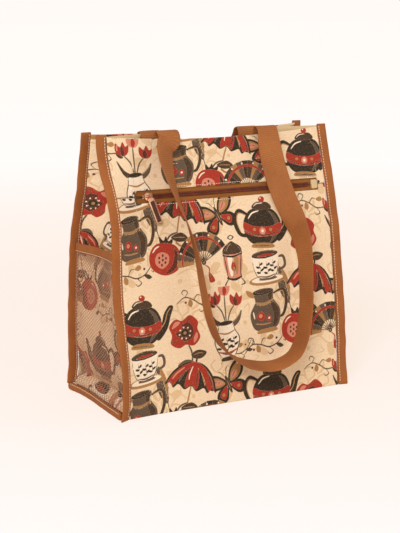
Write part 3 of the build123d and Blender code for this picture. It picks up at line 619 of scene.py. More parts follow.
ghost_scroll = mirrored([
    ("S", LINE, [(0, -26), (8, -18), (6, -8), (14, -2), (20, -10), (14, -15)], 2.0),
    ("S", LINE, [(0, -8), (7, 2), (3, 12), (11, 18), (18, 12), (13, 7)], 2.0),
    ("S", BLOB, [(0, 14), (6, 22), (0, 32), (2, 22)]),
    ("S", LINE, [(0, -2), (14, 6), (24, 2)], 1.6),
])
ghost_leaves = [
    ("S", LINE, [(-26, -8), (-12, 2), (4, -2), (22, 8)], 1.8),
    ("S", BLOB, [(-14, 2), (-18, 12), (-10, 16), (-7, 6)]),
    ("S", BLOB, [(2, -3), (8, -14), (15, -12), (10, -3)]), ("S", BLOB, [(10, 3), (12, 14), (20, 16), (18, 7)]),
    ("S", OVAL, (-22, -14, 5, 5)), ("S", OVAL, (24, -4, 5, 5)), ("S", LINE, [(-8, -16), (0, -12), (-6, -8)], 1.5),
]
print("shapes: vine", len(vine), "feather", len(feather))

# %% The repeat: motif, place, turn and size
repeat_wide, repeat_high = 184.0, 212.0
layout = [
    (ghost_scroll, 58, 62, 10, 1.3), (ghost_leaves, 124, 20, -20, 1.2), (ghost_scroll, 155, 104, 180, 1.2),
    (ghost_leaves, 20, 124, 30, 1.3), (ghost_scroll, 99, 174, -30, 1.2), (ghost_leaves, 177, 192, 70, 1.1),
    (ghost_leaves, 87, 99, 100, 1.0), (ghost_leaves, 14, 24, 15, 1.0),
    (vine, 29, 27, 8, 0.95), (vine, 118, 199, -6, 0.9), (vine, 170, 128, 20, 0.8),
    (feather, 63, 96, 20, 0.95), (lantern, 172, 26, 2, 0.96), (butterfly, 156, 88, 24, 1.02),
    (poppy, 96, 160, 12, 1.06),
    (teapot, 36, 178, -4, 1.2), (vase, 155, 158, 4, 1.06), (cup, 36, 126, 3, 1.08), (parasol, 102, 94, -16, 1.08),
    (jug, 30, 72, 5, 1.12), (pomegranate, 76, 43, -8, 1.16), (fan_gores(), 130, 33, 18, 1.02),
]
print("motifs in a repeat:", len(layout), "of", repeat_wide, "by", repeat_high, "mm")

# %% Weave the picture into a cloth
field_limit = 2.5
motif_reach = 46
copies = range(-4, 5)


def placed(kind, data, turn, size):
    """A shape's outline or line, turned and sized."""
    if kind == OVAL:
        ring = oval(*data)
    elif kind == EDGE:
        ring = np.asarray(data, float)
    else:
        ring = smooth_ring(data, closed=kind == BLOB)
    c, s = math.cos(math.radians(turn)) * size, math.sin(math.radians(turn)) * size
    return ring @ np.array([[c, s], [-s, c]])


def woven_picture(spots, shift):
    """Nine distances at each spot (millimetres on the flat cloth), one for each colour of thread."""
    fields = np.full((len(THREADS), len(spots)), -field_limit)
    low, high = spots.min(0) - motif_reach + 1, spots.max(0) + motif_reach - 1
    for shapes, x, y, turn, size in layout:
        drawn = [(THREADS.index(t), kind, placed(kind, data, turn, size), rest) for t, kind, data, *rest in shapes]
        for i in copies:
            for j in copies:
                middle = np.array([x + i * repeat_wide, y + j * repeat_high + (i % 2) * repeat_high / 2]) + shift
                if (middle < low).any() or (middle > high).any():
                    continue
                near = np.flatnonzero((np.abs(spots - middle) < motif_reach * size + 6).all(1))
                local = spots[near] - middle
                for thread, kind, ring, rest in drawn:
                    margin = (rest[0] if rest else 0) + 2
                    inside = ((local > ring.min(0) - margin) & (local < ring.max(0) + margin)).all(1)
                    if not inside.any():
                        continue
                    at = near[inside]
                    if kind == LINE:
                        field = line_field(local[inside], ring, rest[0] * size)
                    else:
                        field = ring_field(local[inside], ring)
                    others = np.arange(len(THREADS)) != thread
                    fields[np.ix_(others, at)] = np.minimum(fields[np.ix_(others, at)], -field)
                    fields[thread, at] = np.maximum(fields[thread, at], field)
    return np.clip(fields, -field_limit, field_limit)


print("one point's distances:", woven_picture(np.array([[36.0, 178.0]]), 0.0).ravel().round(1))

# %% [markdown]
# ## Finishes that several materials share
# Cloth, tape, webbing and lining are all woven, so one node group draws a weave at any pitch: its Height feeds a bump
# and its Shade is painted shade in the hollows between threads, with slubs of uneven yarn. A second group gives the
# slow, uneven tone that handling and light leave on any soft thing. Each material places the groups with its own
# numbers and keeps its own shader.

# %% Shared node groups
def new_group(name, inputs, outputs):
    """An empty shader group with named sockets."""
    tree = bpy.data.node_groups.new(name, "ShaderNodeTree")
    for label, kind, value in inputs:
        made = tree.interface.new_socket(label, in_out="INPUT", socket_type=kind)
        if value is not None:
            made.default_value = value
    for label, kind in outputs:
        tree.interface.new_socket(label, in_out="OUTPUT", socket_type=kind)
    return tree, add(tree, "NodeGroupInput").outputs, add(tree, "NodeGroupOutput")


def weave_group():
    """Rows of weft with warp ticks set half a step over in each row."""
    tree, given, result = new_group(
        "weave", [("Vector", "NodeSocketVector", None), ("Across", "NodeSocketFloat", 0.8),
                  ("Along", "NodeSocketFloat", 0.6), ("Shift", "NodeSocketFloat", 0.5)],
        [("Height", "NodeSocketFloat"), ("Shade", "NodeSocketFloat")])
    place = add(tree, "ShaderNodeSeparateXYZ", {0: given["Vector"]}).outputs
    row = sums(tree, "DIVIDE", place[1], given["Along"])
    step = sums(tree, "MULTIPLY", sums(tree, "FLOOR", row), given["Shift"])
    tick = sums(tree, "ADD", sums(tree, "DIVIDE", place[0], given["Across"]), step)
    swell = sums(tree, "ABSOLUTE", sums(tree, "SINE", sums(tree, "MULTIPLY", row, math.pi)))
    beat = sums(tree, "ABSOLUTE", sums(tree, "SINE", sums(tree, "MULTIPLY", tick, math.pi)))
    height = sums(tree, "MULTIPLY", sums(tree, "POWER", swell, 0.6), sums(tree, "MULTIPLY_ADD", beat, 0.55, 0.45))
    slub = add(tree, "ShaderNodeTexNoise", {"Vector": given["Vector"], "Scale": 0.35, "Detail": 2.0}).outputs[0]
    # Shade: painted shade in the hollows between threads, plus slubs of uneven yarn.
    shade = sums(tree, "MULTIPLY_ADD", slub, 0.35, sums(tree, "MULTIPLY_ADD", height, 0.5, 0.3))
    tree.links.new(height, result.inputs["Height"])
    tree.links.new(shade, result.inputs["Shade"])
    return tree


def handling_group():
    """Slow uneven tone, from 0 where it is dull to 1 where it is fresh."""
    tree, given, result = new_group(
        "handling", [("Vector", "NodeSocketVector", None), ("Scale", "NodeSocketFloat", 10.0)],
        [("Tone", "NodeSocketFloat"), ("Specks", "NodeSocketFloat")])
    slow = add(tree, "ShaderNodeTexNoise",
               {"Vector": given["Vector"], "Scale": given["Scale"], "Detail": 4.0}).outputs[0]
    fine = sums(tree, "MULTIPLY", given["Scale"], 24.0)
    specks = add(tree, "ShaderNodeTexNoise", {"Vector": given["Vector"], "Scale": fine, "Detail": 2.0}).outputs[0]
    tone = add(tree, "ShaderNodeMapRange", {"Value": slow, "From Min": 0.3, "From Max": 0.7}).outputs[0]
    tree.links.new(tone, result.inputs["Tone"])
    tree.links.new(specks, result.inputs["Specks"])
    return tree


weave, handling = weave_group(), handling_group()
print("groups:", weave.name, handling.name)


# %% Helpers for materials
def grouped(tree, group, inputs):
    """A group placed in a material, with its own values."""
    return add(tree, "ShaderNodeGroup", inputs, node_tree=group).outputs


def surface(tree, output, base, rough, height=None, depth=0.0002, **fixed):
    """The Principled BSDF with a colour, a roughness and a bump; other sockets are set directly."""
    shader = add(tree, "ShaderNodeBsdfPrincipled", {"Base Color": base, "Roughness": rough})
    for name, value in fixed.items():
        shader.inputs[name.replace("_", " ")].default_value = value
    if height is not None:
        bump = add(tree, "ShaderNodeBump", {"Height": height, "Distance": depth, "Strength": 0.8})
        tree.links.new(bump.outputs[0], shader.inputs["Normal"])
    tree.links.new(shader.outputs[0], output.inputs[0])


def on_cloth(tree):
    """Millimetres along and up the flat cloth, carried by the mesh."""
    return add(tree, "ShaderNodeAttribute", attribute_name="lay").outputs["Vector"]


def on_object(tree):
    """Object coordinates in millimetres."""
    coords = add(tree, "ShaderNodeTexCoord").outputs["Object"]
    return add(tree, "ShaderNodeVectorMath", {0: coords, "Scale": 1000.0}, operation="SCALE").outputs[0]


# %% [markdown]
# ## Cloth, tape and thread
# The tapestry reads its thread fields from three vector attributes and lays one colour over another. Its threads
# step the edges a little, as a loom does, and dark threads let some of the ground's colour through. The other soft
# finishes are plain woven colour: brown twill binding, ribbed webbing, zip tape, pale lining and dusky net.

# %% Tapestry
THREAD_COLOURS = {"K": "#120c0b", "G": "#594a40", "R": "#a82419", "D": "#561611", "P": "#d88a76", "T": "#ad7f4c",
                  "W": "#fbf1e0", "B": "#3c291f", "S": "#dabb8c"}


def tapestry_cloth():
    """Jacquard cloth with the woven picture."""
    made, tree, output = new_material("tapestry")
    lay = on_cloth(tree)
    threads = grouped(tree, weave, {"Vector": lay, "Across": 0.9, "Along": 0.62})
    tone = grouped(tree, handling, {"Vector": lay, "Scale": 0.02})
    loom = sums(tree, "MULTIPLY_ADD", threads["Height"], 0.5, -0.25)
    # The ground is lighter on the thread tops and darker in the hollows: painted shade.
    ground = blended(tree, threads["Shade"], colour("#dfc198"), colour("#fff0d8"))
    shown = blended(tree, sums(tree, "MULTIPLY", tone["Specks"], 0.25), ground, colour("#d2ac78"))
    for k, name in enumerate("abc"):
        fields = add(tree, "ShaderNodeAttribute", attribute_name="threads_" + name).outputs["Vector"]
        parts = add(tree, "ShaderNodeSeparateXYZ", {0: fields}).outputs
        for part, thread in zip(parts, THREADS[3 * k:3 * k + 3]):
            edge = sums(tree, "ADD", part, loom)
            mask = add(tree, "ShaderNodeMapRange", {"Value": edge, "From Min": -0.12, "From Max": 0.12}).outputs[0]
            mask = sums(tree, "MULTIPLY", mask, 0.62 if thread == "S" else 0.96)
            shown = blended(tree, mask, shown, colour(THREAD_COLOURS[thread]))
    flecks = add(tree, "ShaderNodeMapRange",
                 {"Value": tone["Specks"], "From Min": 0.56, "From Max": 0.66}).outputs[0]
    shown = blended(tree, sums(tree, "MULTIPLY", flecks, 0.16), shown, colour("#c79a67"))
    # Every thread colour is darkened in the hollows between threads: painted shade.
    depth = sums(tree, "MULTIPLY_ADD", threads["Shade"], 0.42, 0.72)
    shaded = add(tree, "ShaderNodeCombineColor", {0: depth, 1: depth, 2: depth}).outputs[0]
    shown = blended(tree, 1.0, shown, shaded, "MULTIPLY")
    surface(tree, output, shown, 0.86, threads["Height"], 0.00025, Specular_IOR_Level=0.15)
    return made


# %% Plain weaves and thread
def woven_cloth(name, light, dark, across, upward, depth, rough=0.85, shift=0.5):
    """Plain woven colour with slow unevenness. Across and upward are the weave's pitches, in millimetres."""
    made, tree, output = new_material(name)
    lay = on_cloth(tree)
    threads = grouped(tree, weave, {"Vector": lay, "Across": across, "Along": upward, "Shift": shift})
    tone = grouped(tree, handling, {"Vector": lay, "Scale": 0.02})
    # Light on the thread tops and dark in the hollows: painted shade, with slubs of uneven yarn.
    mixed = blended(tree, threads["Shade"], colour(dark), colour(light))
    mixed = blended(tree, sums(tree, "MULTIPLY", tone["Tone"], 0.42), mixed, colour(dark))
    surface(tree, output, mixed, rough, threads["Height"], depth)
    return made


def plain_thread(name, light, dark, twist=1.1):
    """Twisted sewing thread, on object coordinates."""
    made, tree, output = new_material(name)
    spots = on_object(tree)
    strand = add(tree, "ShaderNodeTexWave", {"Vector": spots, "Scale": twist, "Distortion": 1.5}).outputs["Fac"]
    specks = add(tree, "ShaderNodeTexNoise", {"Vector": spots, "Scale": 0.9, "Detail": 2.0}).outputs[0]
    mixed = blended(tree, sums(tree, "MULTIPLY", strand, specks), colour(light), colour(dark))
    surface(tree, output, mixed, 0.75, strand, 0.00006, Sheen_Weight=0.1)
    return made


# %% Soft finishes
tapestry = tapestry_cloth()
lining = woven_cloth("lining", "#e6d2ac", "#c9ad7e", across=0.5, upward=0.5, depth=0.00012)
binding_tape = woven_cloth("binding_tape", "#b87239", "#733b15", across=0.9, upward=0.55, depth=0.00022, shift=0.33)
webbing = woven_cloth("webbing", "#ba773e", "#5f2e0d", across=1.5, upward=2.4, depth=0.00035, rough=0.75, shift=0.0)
zip_tape = woven_cloth("zip_tape", "#a36a2c", "#6a3d14", across=0.7, upward=0.5, depth=0.00015)
pocket_cloth = woven_cloth("pocket_cloth", "#d9c39a", "#b89c6e", across=0.5, upward=0.5, depth=0.0001)
net_thread = plain_thread("net_thread", "#cfa287", "#8a5a44", 0.8)
white_thread = plain_thread("white_thread", "#fbf3e4", "#d9c8ac")
brown_thread = plain_thread("brown_thread", "#7a4326", "#4a2714")
print("soft finishes made, materials so far:", len(bpy.data.materials))

# %% [markdown]
# ## Metal, nylon and leather
# The slider and its pull are warm plated metal: bright, with fine rubbed lines and duller patches. The zip's coil is
# hard brown nylon, which is smooth with small soft highlights. The pull's insert is grained leather, and the base is
# stiffened by a board covered in dark cloth.

# %% Hard materials
def rubbed_metal(name, light, dark):
    """Plated metal with fine rubbed lines and handled patches."""
    made, tree, output = new_material(name)
    spots = on_object(tree)
    stretched = add(tree, "ShaderNodeMapping", {"Vector": spots, "Scale": (0.4, 3.0, 3.0)}).outputs[0]
    lines = add(tree, "ShaderNodeTexNoise", {"Vector": stretched, "Scale": 2.2, "Detail": 5.0}).outputs[0]
    tone = grouped(tree, handling, {"Vector": spots, "Scale": 0.2})
    mixed = blended(tree, tone["Tone"], colour(dark), colour(light))
    rough = sums(tree, "MULTIPLY_ADD", lines, 0.22, sums(tree, "MULTIPLY_ADD", tone["Tone"], -0.08, 0.2))
    surface(tree, output, mixed, rough, lines, 0.00003, Metallic=1.0)
    return made


def nylon(name, light, dark):
    """Hard moulded nylon."""
    made, tree, output = new_material(name)
    tone = grouped(tree, handling, {"Vector": on_object(tree), "Scale": 0.15})
    mixed = blended(tree, tone["Tone"], colour(dark), colour(light))
    rough = sums(tree, "MULTIPLY_ADD", tone["Specks"], 0.2, 0.28)
    surface(tree, output, mixed, rough, tone["Specks"], 0.00002, Coat_Weight=0.15)
    return made


def grained(name, light, dark, cell, depth, rough):
    """Leather or coated cloth: small cells with creases between them."""
    made, tree, output = new_material(name)
    spots = on_object(tree)
    cells = add(tree, "ShaderNodeTexVoronoi", {"Vector": spots, "Scale": cell},
                feature="DISTANCE_TO_EDGE").outputs[0]
    crease = add(tree, "ShaderNodeMapRange", {"Value": cells, "From Max": 0.12}).outputs[0]
    tone = grouped(tree, handling, {"Vector": spots, "Scale": 0.05})
    # The creases between the cells are darker: painted shade.
    mixed = blended(tree, crease, colour(dark), colour(light))
    mixed = blended(tree, sums(tree, "MULTIPLY", tone["Tone"], 0.3), mixed, colour(dark))
    surface(tree, output, mixed, sums(tree, "MULTIPLY_ADD", tone["Tone"], 0.1, rough), crease, depth)
    return made


rose_metal = rubbed_metal("rose_metal", "#f3c9a8", "#cf9874")
coil_nylon = nylon("coil_nylon", "#8c3d20", "#571f0d")
insert_leather = grained("insert_leather", "#5e2a14", "#33130a", cell=1.6, depth=0.00008, rough=0.42)
board_cover = grained("board_cover", "#4a3a30", "#2c211b", cell=0.9, depth=0.00015, rough=0.7)
print("materials:", len(bpy.data.materials))

# %% [markdown]
# ## From points to pieces
# Two makers cover nearly the whole bag. One closes a fine outer cloth with a coarser inner lining, so that a wall is
# a real solid and its woven picture costs few faces inside. The other runs a closed section along a path, for tape,
# webbing and rolls. Both carry flat-cloth millimetres in an attribute named lay, so every weave follows its piece.

# %% A mesh from points
def piece(name, points, faces, materials, kinds=None, layers=None):
    """A smooth-shaded object from points in millimetres, with face materials and vector attributes."""
    mesh = bpy.data.meshes.new(name)
    mesh.from_pydata((np.asarray(points, float) * MM).tolist(), [], faces)
    for material in materials:
        mesh.materials.append(material)
    if kinds is not None:
        mesh.polygons.foreach_set("material_index", np.asarray(kinds, np.int32))
    mesh.polygons.foreach_set("use_smooth", np.ones(len(faces), bool))
    for label, values in (layers or {}).items():
        made = mesh.attributes.new(label, "FLOAT_VECTOR", "POINT")
        made.data.foreach_set("vector", np.asarray(values, np.float32).ravel())
    mesh.update()
    made = bpy.data.objects.new(name, mesh)
    bpy.context.scene.collection.objects.link(made)
    return made


def quads(height, width, first=0, flip=False):
    """Faces of a grid of points numbered row by row."""
    i = (np.arange(height - 1)[:, None] * width + np.arange(width - 1)[None, :]).ravel() + first
    out = np.stack([i, i + 1, i + 1 + width, i + width], -1)
    return (out[:, ::-1] if flip else out).tolist()


# %% A wall of cloth
def cloth_piece(name, outer, thick, out, lay, materials, fields=None, step=4):
    """A wall of cloth: a fine outer grid, an inner grid with every fourth point, and a rim between them."""
    height, width = outer.shape[:2]
    normals = grid_normals(outer)
    flip = bool(normals.reshape(-1, 3).mean(0) @ np.asarray(out, float) < 0)
    normals = -normals if flip else normals
    inner = (outer - normals * thick)[::step, ::step]
    rim = np.zeros((height, width, 1))
    rim[[0, -1]] = rim[:, [0, -1]] = 0.35 * thick
    outer = outer - normals * rim
    tall, wide = inner.shape[:2]
    first = height * width
    faces = quads(height, width, 0, flip)
    shown = len(faces)
    sides = [
        ([(0, j) for j in range(width)], [(0, j) for j in range(wide)]),
        ([(i, width - 1) for i in range(height)], [(i, wide - 1) for i in range(tall)]),
        ([(height - 1, j) for j in range(width)][::-1], [(tall - 1, j) for j in range(wide)][::-1]),
        ([(i, 0) for i in range(height)][::-1], [(i, 0) for i in range(tall)][::-1]),
    ]
    for fine, rough in sides:
        for k in range(len(rough) - 1):
            ring = [i * width + j for i, j in fine[k * step:(k + 1) * step + 1]][::-1]
            ring += [first + i * wide + j for i, j in rough[k:k + 2]]
            faces.append(ring[::-1] if flip else ring)
    outside = len(faces)
    faces += quads(tall, wide, first, not flip)
    kinds = [0] * outside + [1] * (len(faces) - outside)
    flat = np.concatenate([lay, np.zeros(lay.shape[:2] + (1,))], -1)
    layers = {"lay": np.concatenate([flat.reshape(-1, 3), flat[::step, ::step].reshape(-1, 3)])}
    if fields is not None:
        hidden = np.full((tall * wide, 3), -field_limit)
        for k, label in enumerate("abc"):
            layers["threads_" + label] = np.concatenate([fields[3 * k:3 * k + 3].T, hidden])
    points = np.concatenate([outer.reshape(-1, 3), inner.reshape(-1, 3)])
    print(name, "outer faces", shown, "all", len(faces))
    return piece(name, points, faces, materials, kinds, layers)


# %% A section along a path
def run_piece(name, rings, lay, material):
    """A closed section run along a path: rings of points, each the same way round, capped at both ends."""
    count, around = rings.shape[:2]
    i = (np.arange(count - 1)[:, None] * around).ravel()
    faces = []
    for k in range(around):
        after = (k + 1) % around
        faces += np.stack([i + k, i + after, i + around + after, i + around + k], -1).tolist()
    faces += [list(range(around))[::-1], [(count - 1) * around + k for k in range(around)]]
    points = rings.reshape(-1, 3)
    middle = points.mean(0)
    volume = sum(float(np.dot(points[f[0]] - middle, np.cross(points[f[1]] - middle, points[f[2]] - middle)))
                 for f in faces[:2 * count * around:7])
    if volume < 0:
        faces = [face[::-1] for face in faces]
    flat = np.concatenate([lay, np.zeros(lay.shape[:2] + (1,))], -1)
    return piece(name, points, faces, [material], None, {"lay": flat.reshape(-1, 3)})


# %% Small helpers for pieces
def flat_lay(across, upward):
    """Millimetres across and up the flat cloth at each point of a grid."""
    return np.stack(np.broadcast_arrays(across, upward), -1)


def rounded_end(from_end, radius, least):
    """How far a section stays open near its closed ends, for a grid whose rows run along the piece."""
    return np.sqrt(np.clip(1 - (1 - np.minimum(from_end / radius, 1)) ** 2, least, 1))[:, None]


def squared(wave, power):
    """A sine or cosine pushed towards its ends, which squares off a round section."""
    return np.sign(wave) * np.abs(wave) ** power


def finish_piece(made, slot, *nodes):
    """Set a piece on the bag's body and let it stand for its CAD nodes, which are hidden; its slot is not used."""
    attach(made, "bag")
    if nodes:
        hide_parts(*nodes)
    return made


def ripples(u, v, size, seed, shortest=38.0, longest=110.0):
    """Gentle unevenness of hanging cloth, in millimetres."""
    dice = np.random.default_rng(seed)
    out = np.zeros_like(u)
    for _ in range(7):
        wave, turn, phase = dice.uniform(shortest, longest), dice.uniform(0, math.pi), dice.uniform(0, 2 * math.pi)
        out += np.sin(2 * math.pi / wave * (u * math.cos(turn) + v * math.sin(turn)) + phase)
    return out * size / 4


# %% [markdown]
# ## Geometry Nodes for what repeats
# Stitches follow a seam at an even pitch, net cords follow their diagonals, and the zip's links stand in a row. One
# small tree does each of these from named inputs. A seam is handed to a tree as a bare line of points, and what comes
# out is turned into a plain mesh at once, so the export sees ordinary faces.

# %% How a tree begins and ends
def new_tree(name, sockets):
    """A geometry tree with named inputs after its geometry."""
    tree = bpy.data.node_groups.new(name, "GeometryNodeTree")
    tree.interface.new_socket("Geometry", in_out="INPUT", socket_type="NodeSocketGeometry")
    for label, kind, value in sockets + [("Material", "NodeSocketMaterial", None)]:
        made = tree.interface.new_socket(label, in_out="INPUT", socket_type=kind)
        if value is not None:
            made.default_value = value
    tree.interface.new_socket("Geometry", in_out="OUTPUT", socket_type="NodeSocketGeometry")
    return tree, add(tree, "NodeGroupInput").outputs, add(tree, "NodeGroupOutput")


def close_tree(tree, given, result, geometry):
    """Realize Instances, smooth shading and Set Material at a tree's end."""
    real = add(tree, "GeometryNodeRealizeInstances", {"Geometry": geometry}).outputs[0]
    soft = add(tree, "GeometryNodeSetShadeSmooth", {"Geometry": real}).outputs[0]
    final = add(tree, "GeometryNodeSetMaterial", {"Geometry": soft, "Material": given["Material"]}).outputs[0]
    tree.links.new(final, result.inputs[0])
    return tree


# %% Trees for stitches, cords and rows
def stitch_tree():
    """Rounded stitches at an even pitch along lines, each lying along its line."""
    tree, given, result = new_tree("stitches",
                                   [("Pitch", "NodeSocketFloat", 0.0032), ("Length", "NodeSocketFloat", 0.0022),
                                                ("Width", "NodeSocketFloat", 0.0008)])
    line = add(tree, "GeometryNodeMeshToCurve", {"Mesh": given["Geometry"]}).outputs[0]
    spots = add(tree, "GeometryNodeCurveToPoints", {"Curve": line, "Length": given["Pitch"]}, mode="LENGTH").outputs
    turn = add(tree, "FunctionNodeAlignRotationToVector", {"Vector": spots["Tangent"]}, axis="Z").outputs[0]
    size = add(tree, "ShaderNodeCombineXYZ", {0: given["Width"], 1: given["Width"], 2: given["Length"]}).outputs[0]
    bead = add(tree, "GeometryNodeMeshUVSphere", {"Segments": 8, "Rings": 5, "Radius": 0.5}).outputs[0]
    sewn = add(tree, "GeometryNodeInstanceOnPoints", {"Points": spots["Points"], "Instance": bead, "Rotation": turn,
                                                      "Scale": size}).outputs[0]
    return close_tree(tree, given, result, sewn)


def cord_tree():
    """Round cords along lines."""
    tree, given, result = new_tree("cords", [("Radius", "NodeSocketFloat", 0.0004), ("Sides", "NodeSocketInt", 4)])
    line = add(tree, "GeometryNodeMeshToCurve", {"Mesh": given["Geometry"]}).outputs[0]
    ring = add(tree, "GeometryNodeCurvePrimitiveCircle",
               {"Resolution": given["Sides"], "Radius": given["Radius"]}).outputs[0]
    cords = add(tree, "GeometryNodeCurveToMesh",
                {"Curve": line, "Profile Curve": ring, "Fill Caps": True}).outputs[0]
    return close_tree(tree, given, result, cords)


def row_tree():
    """Copies of a link in a straight row."""
    tree, given, result = new_tree("row", [("Count", "NodeSocketInt", 10), ("Step", "NodeSocketVector", None)])
    line = add(tree, "GeometryNodeMeshLine", {"Count": given["Count"], "Offset": given["Step"]},
               mode="OFFSET").outputs[0]
    copies = add(tree, "GeometryNodeInstanceOnPoints", {"Points": line, "Instance": given["Geometry"]}).outputs[0]
    return close_tree(tree, given, result, copies)


stitches, cords, row = stitch_tree(), cord_tree(), row_tree()
print("trees:", stitches.name, cords.name, row.name)


# %% Run a tree, and lay a line on a piece
def settled(made, tree, values):
    """Run a tree on an object and keep the result as its plain mesh."""
    modifier = made.modifiers.new(tree.name, "NODES")
    modifier.node_group = tree
    sockets = [item for item in tree.interface.items_tree if item.item_type == "SOCKET" and item.in_out == "INPUT"]
    for item in sockets:
        if item.name in values:
            modifier[item.identifier] = values[item.name]
    bpy.context.view_layer.update()
    graph = bpy.context.evaluated_depsgraph_get()
    mesh = bpy.data.meshes.new_from_object(made.evaluated_get(graph))
    made.modifiers.clear()
    made.data = mesh
    return made


def lines_object(name, lines):
    """Bare lines of points, in millimetres, as one mesh of edges."""
    points, edges = [], []
    for line in lines:
        first = len(points)
        points += (np.asarray(line, float) * MM).tolist()
        edges += [(first + k, first + k + 1) for k in range(len(line) - 1)]
    mesh = bpy.data.meshes.new(name)
    mesh.from_pydata(points, edges, [])
    made = bpy.data.objects.new(name, mesh)
    bpy.context.scene.collection.objects.link(made)
    return made


def sewn(name, lines, material, pitch=3.3, length=2.4, width=0.8):
    """Rows of stitches along lines, riding on the bag."""
    made = settled(lines_object(name, lines), stitches, {"Pitch": pitch * MM, "Length": length * MM,
                                                         "Width": width * MM, "Material": material})
    print(name, "faces", len(made.data.polygons))
    return finish_piece(made, None)


def laid_on(target, line, lift):
    """A line of points brought onto a piece's real surface and lifted off it."""
    surface_tree = BVHTree.FromObject(target, bpy.context.evaluated_depsgraph_get())
    out = []
    for spot in np.asarray(line, float):
        place, normal, _, _ = surface_tree.find_nearest(Vector(spot * MM))
        out.append(np.array(place) / MM + np.array(normal) * lift)
    return np.array(out)


# %% [markdown]
# ## Front and back panels
# The front is two pieces of cloth, one below and one above the window of the zip. Each column of the fine grid runs
# from the floor or the seam to its own top, so the window is cut by the grid itself. The cloth swells a little, dips
# beside each seam, and its folded edge stands up along the zip and along the top.

# %% Zip line on the front
zip_height, zip_window, zip_left, zip_right = 266.5, 16.0, -126.5, 144.4
window_seam, zip_band = 2.6, (0.62, 0.95)
zip_origin = wall_point("front", 0.0, share_of(zip_height))
zip_up = unit(wall_point("front", 0.0, 0.82) - wall_point("front", 0.0, 0.74))
zip_out = np.cross([1.0, 0.0, 0.0], zip_up)
panel_edge = 1 - panel_inset / half_width
front_half = 155.5
print("the zip's middle line passes through", zip_origin.round(1))


def zip_place(x, up, out):
    """Points in the zip's own frame: along it, up the panel, and out of the panel."""
    x, up, out = np.broadcast_arrays(np.asarray(x, float), np.asarray(up, float), np.asarray(out, float))
    return zip_origin + x[..., None] * np.array([1.0, 0, 0]) + up[..., None] * zip_up + out[..., None] * zip_out


def share_at_up(across, up):
    """The share of the height at which the front reaches a distance up from the zip's middle line."""
    across, up = np.broadcast_arrays(np.asarray(across, float), np.asarray(up, float))
    tries = np.linspace(*zip_band, 90)
    heights = (on_wall("front", across.ravel()[:, None], tries[None, :]) - zip_origin) @ zip_up
    found = [np.interp(goal, line, tries) for goal, line in zip(up.ravel(), heights)]
    return np.array(found).reshape(across.shape)


# %% Dressing a panel
def panel_grid(side, across, low, high, count):
    """A fine grid on a panel, whose rows run from low to high in each column, with millimetres up each column."""
    t = np.linspace(0, 1, count)[:, None]
    share = low[None, :] + (high - low)[None, :] * t
    grid = on_wall(side, np.broadcast_to(across * panel_edge, share.shape), share)
    return grid, share


fold_proud, fold_reach, seam_dip, seam_soft = 0.45, 6.0, 0.28, 0.9
panel_ripple, quiet_side, quiet_foot, quiet_top = 0.9, 30, 25, 40
pucker, pucker_reach, pucker_pitch = 0.22, 7, 11
hem_proud, hem_depth, hem_dip, hem_seam = 0.35, 24, 0.3, 22


def folded_edge(gap):
    """How far cloth stands proud beside a folded and stitched edge."""
    proud = fold_proud * np.clip(1 - gap / fold_reach, 0, 1) ** 0.5
    return proud - seam_dip * np.exp(-((gap - window_seam) / seam_soft) ** 2)


def dress_panel(name, side, grid, share, seed, shift, node, beside=0.0):
    """Shape a panel's fine grid, weave its picture, and make the piece. Beside is how its zip edge stands."""
    u = grid[..., 0]
    v = share * bag_height
    normals = grid_normals(grid) * (1 if side == "front" else -1)
    edge = half_width - np.abs(u)
    still = ease(edge / quiet_side) * ease(v / quiet_foot) * ease((bag_height + 8 - v) / quiet_top)
    stand = ripples(u, v, panel_ripple, seed) * still
    stand += pucker * np.exp(-edge / pucker_reach) * np.sin(v * 2 * math.pi / pucker_pitch + 0.6 * np.sin(v / 17))
    stand -= 0.5 * np.exp(-edge / 2.5)
    stand += hem_proud * ease((v - bag_height + hem_depth) / 3)
    stand -= hem_dip * np.exp(-((v - bag_height + hem_seam) / 1.2) ** 2)
    grid = grid + normals * (stand + beside)[..., None]
    lay = flat_lay(u * outward[side] * -1, v)
    fields = woven_picture(lay.reshape(-1, 2), np.array(shift, float))
    out = (0, outward[side], 0)
    made = cloth_piece(name, grid, cloth, out, lay, [tapestry, lining], fields)
    return finish_piece(made, "tapestry", node)


# %% Front, below and above the zip
front_columns, lower_rows, upper_rows = 297, 257, 77
front_across = np.linspace(-1, 1, front_columns)
for end in (zip_left, zip_right):
    at = int(np.argmin(np.abs(front_across * front_half - end)))
    front_across[at:at + 2] = (end + np.array([-0.2, 0.2])) / front_half
front_x = front_across * front_half
in_window = (front_x > zip_left) & (front_x < zip_right)
lower_top = share_at_up(front_across * panel_edge, np.where(in_window, -zip_window / 2, -seam_gap / 2))
upper_foot = share_at_up(front_across * panel_edge, np.where(in_window, zip_window / 2, seam_gap / 2))
zeros, ones = np.zeros_like(front_across), np.ones_like(front_across)

grid, share = panel_grid("front", front_across, zeros, lower_top, lower_rows)
gap = (lower_top[None, :] - share) * bag_height
beside = np.where(in_window, folded_edge(gap), -0.5 * np.exp(-gap / 1.5))
front_lower = dress_panel("front_lower", "front", grid, share, 3, (-168.0, -64.0), "front_lower_panel",
                          beside)
grid, share = panel_grid("front", front_across, upper_foot, ones, upper_rows)
gap = (share - upper_foot[None, :]) * bag_height
beside = np.where(in_window, folded_edge(gap), 0.4 - 0.9 * np.exp(-gap / 1.2))
front_upper = dress_panel("front_upper", "front", grid, share, 4, (-92.0, 21.0), "front_upper_panel",
                          beside)

# %% Back
back_columns, back_rows = 257, 277
back_across = np.linspace(-1, 1, back_columns)
grid, share = panel_grid("back", back_across, np.zeros_like(back_across), np.ones_like(back_across), back_rows)
back = dress_panel("back", "back", grid, share, 5, (-60.0, -30.0), "back_panel")

# %% [markdown]
# ## Side walls
# Each side is one cloth that folds in on itself towards the top, because the bag closes flat, and turns out at its
# foot over the rolled binding. The same tables as the CAD's place it between the corner bindings.

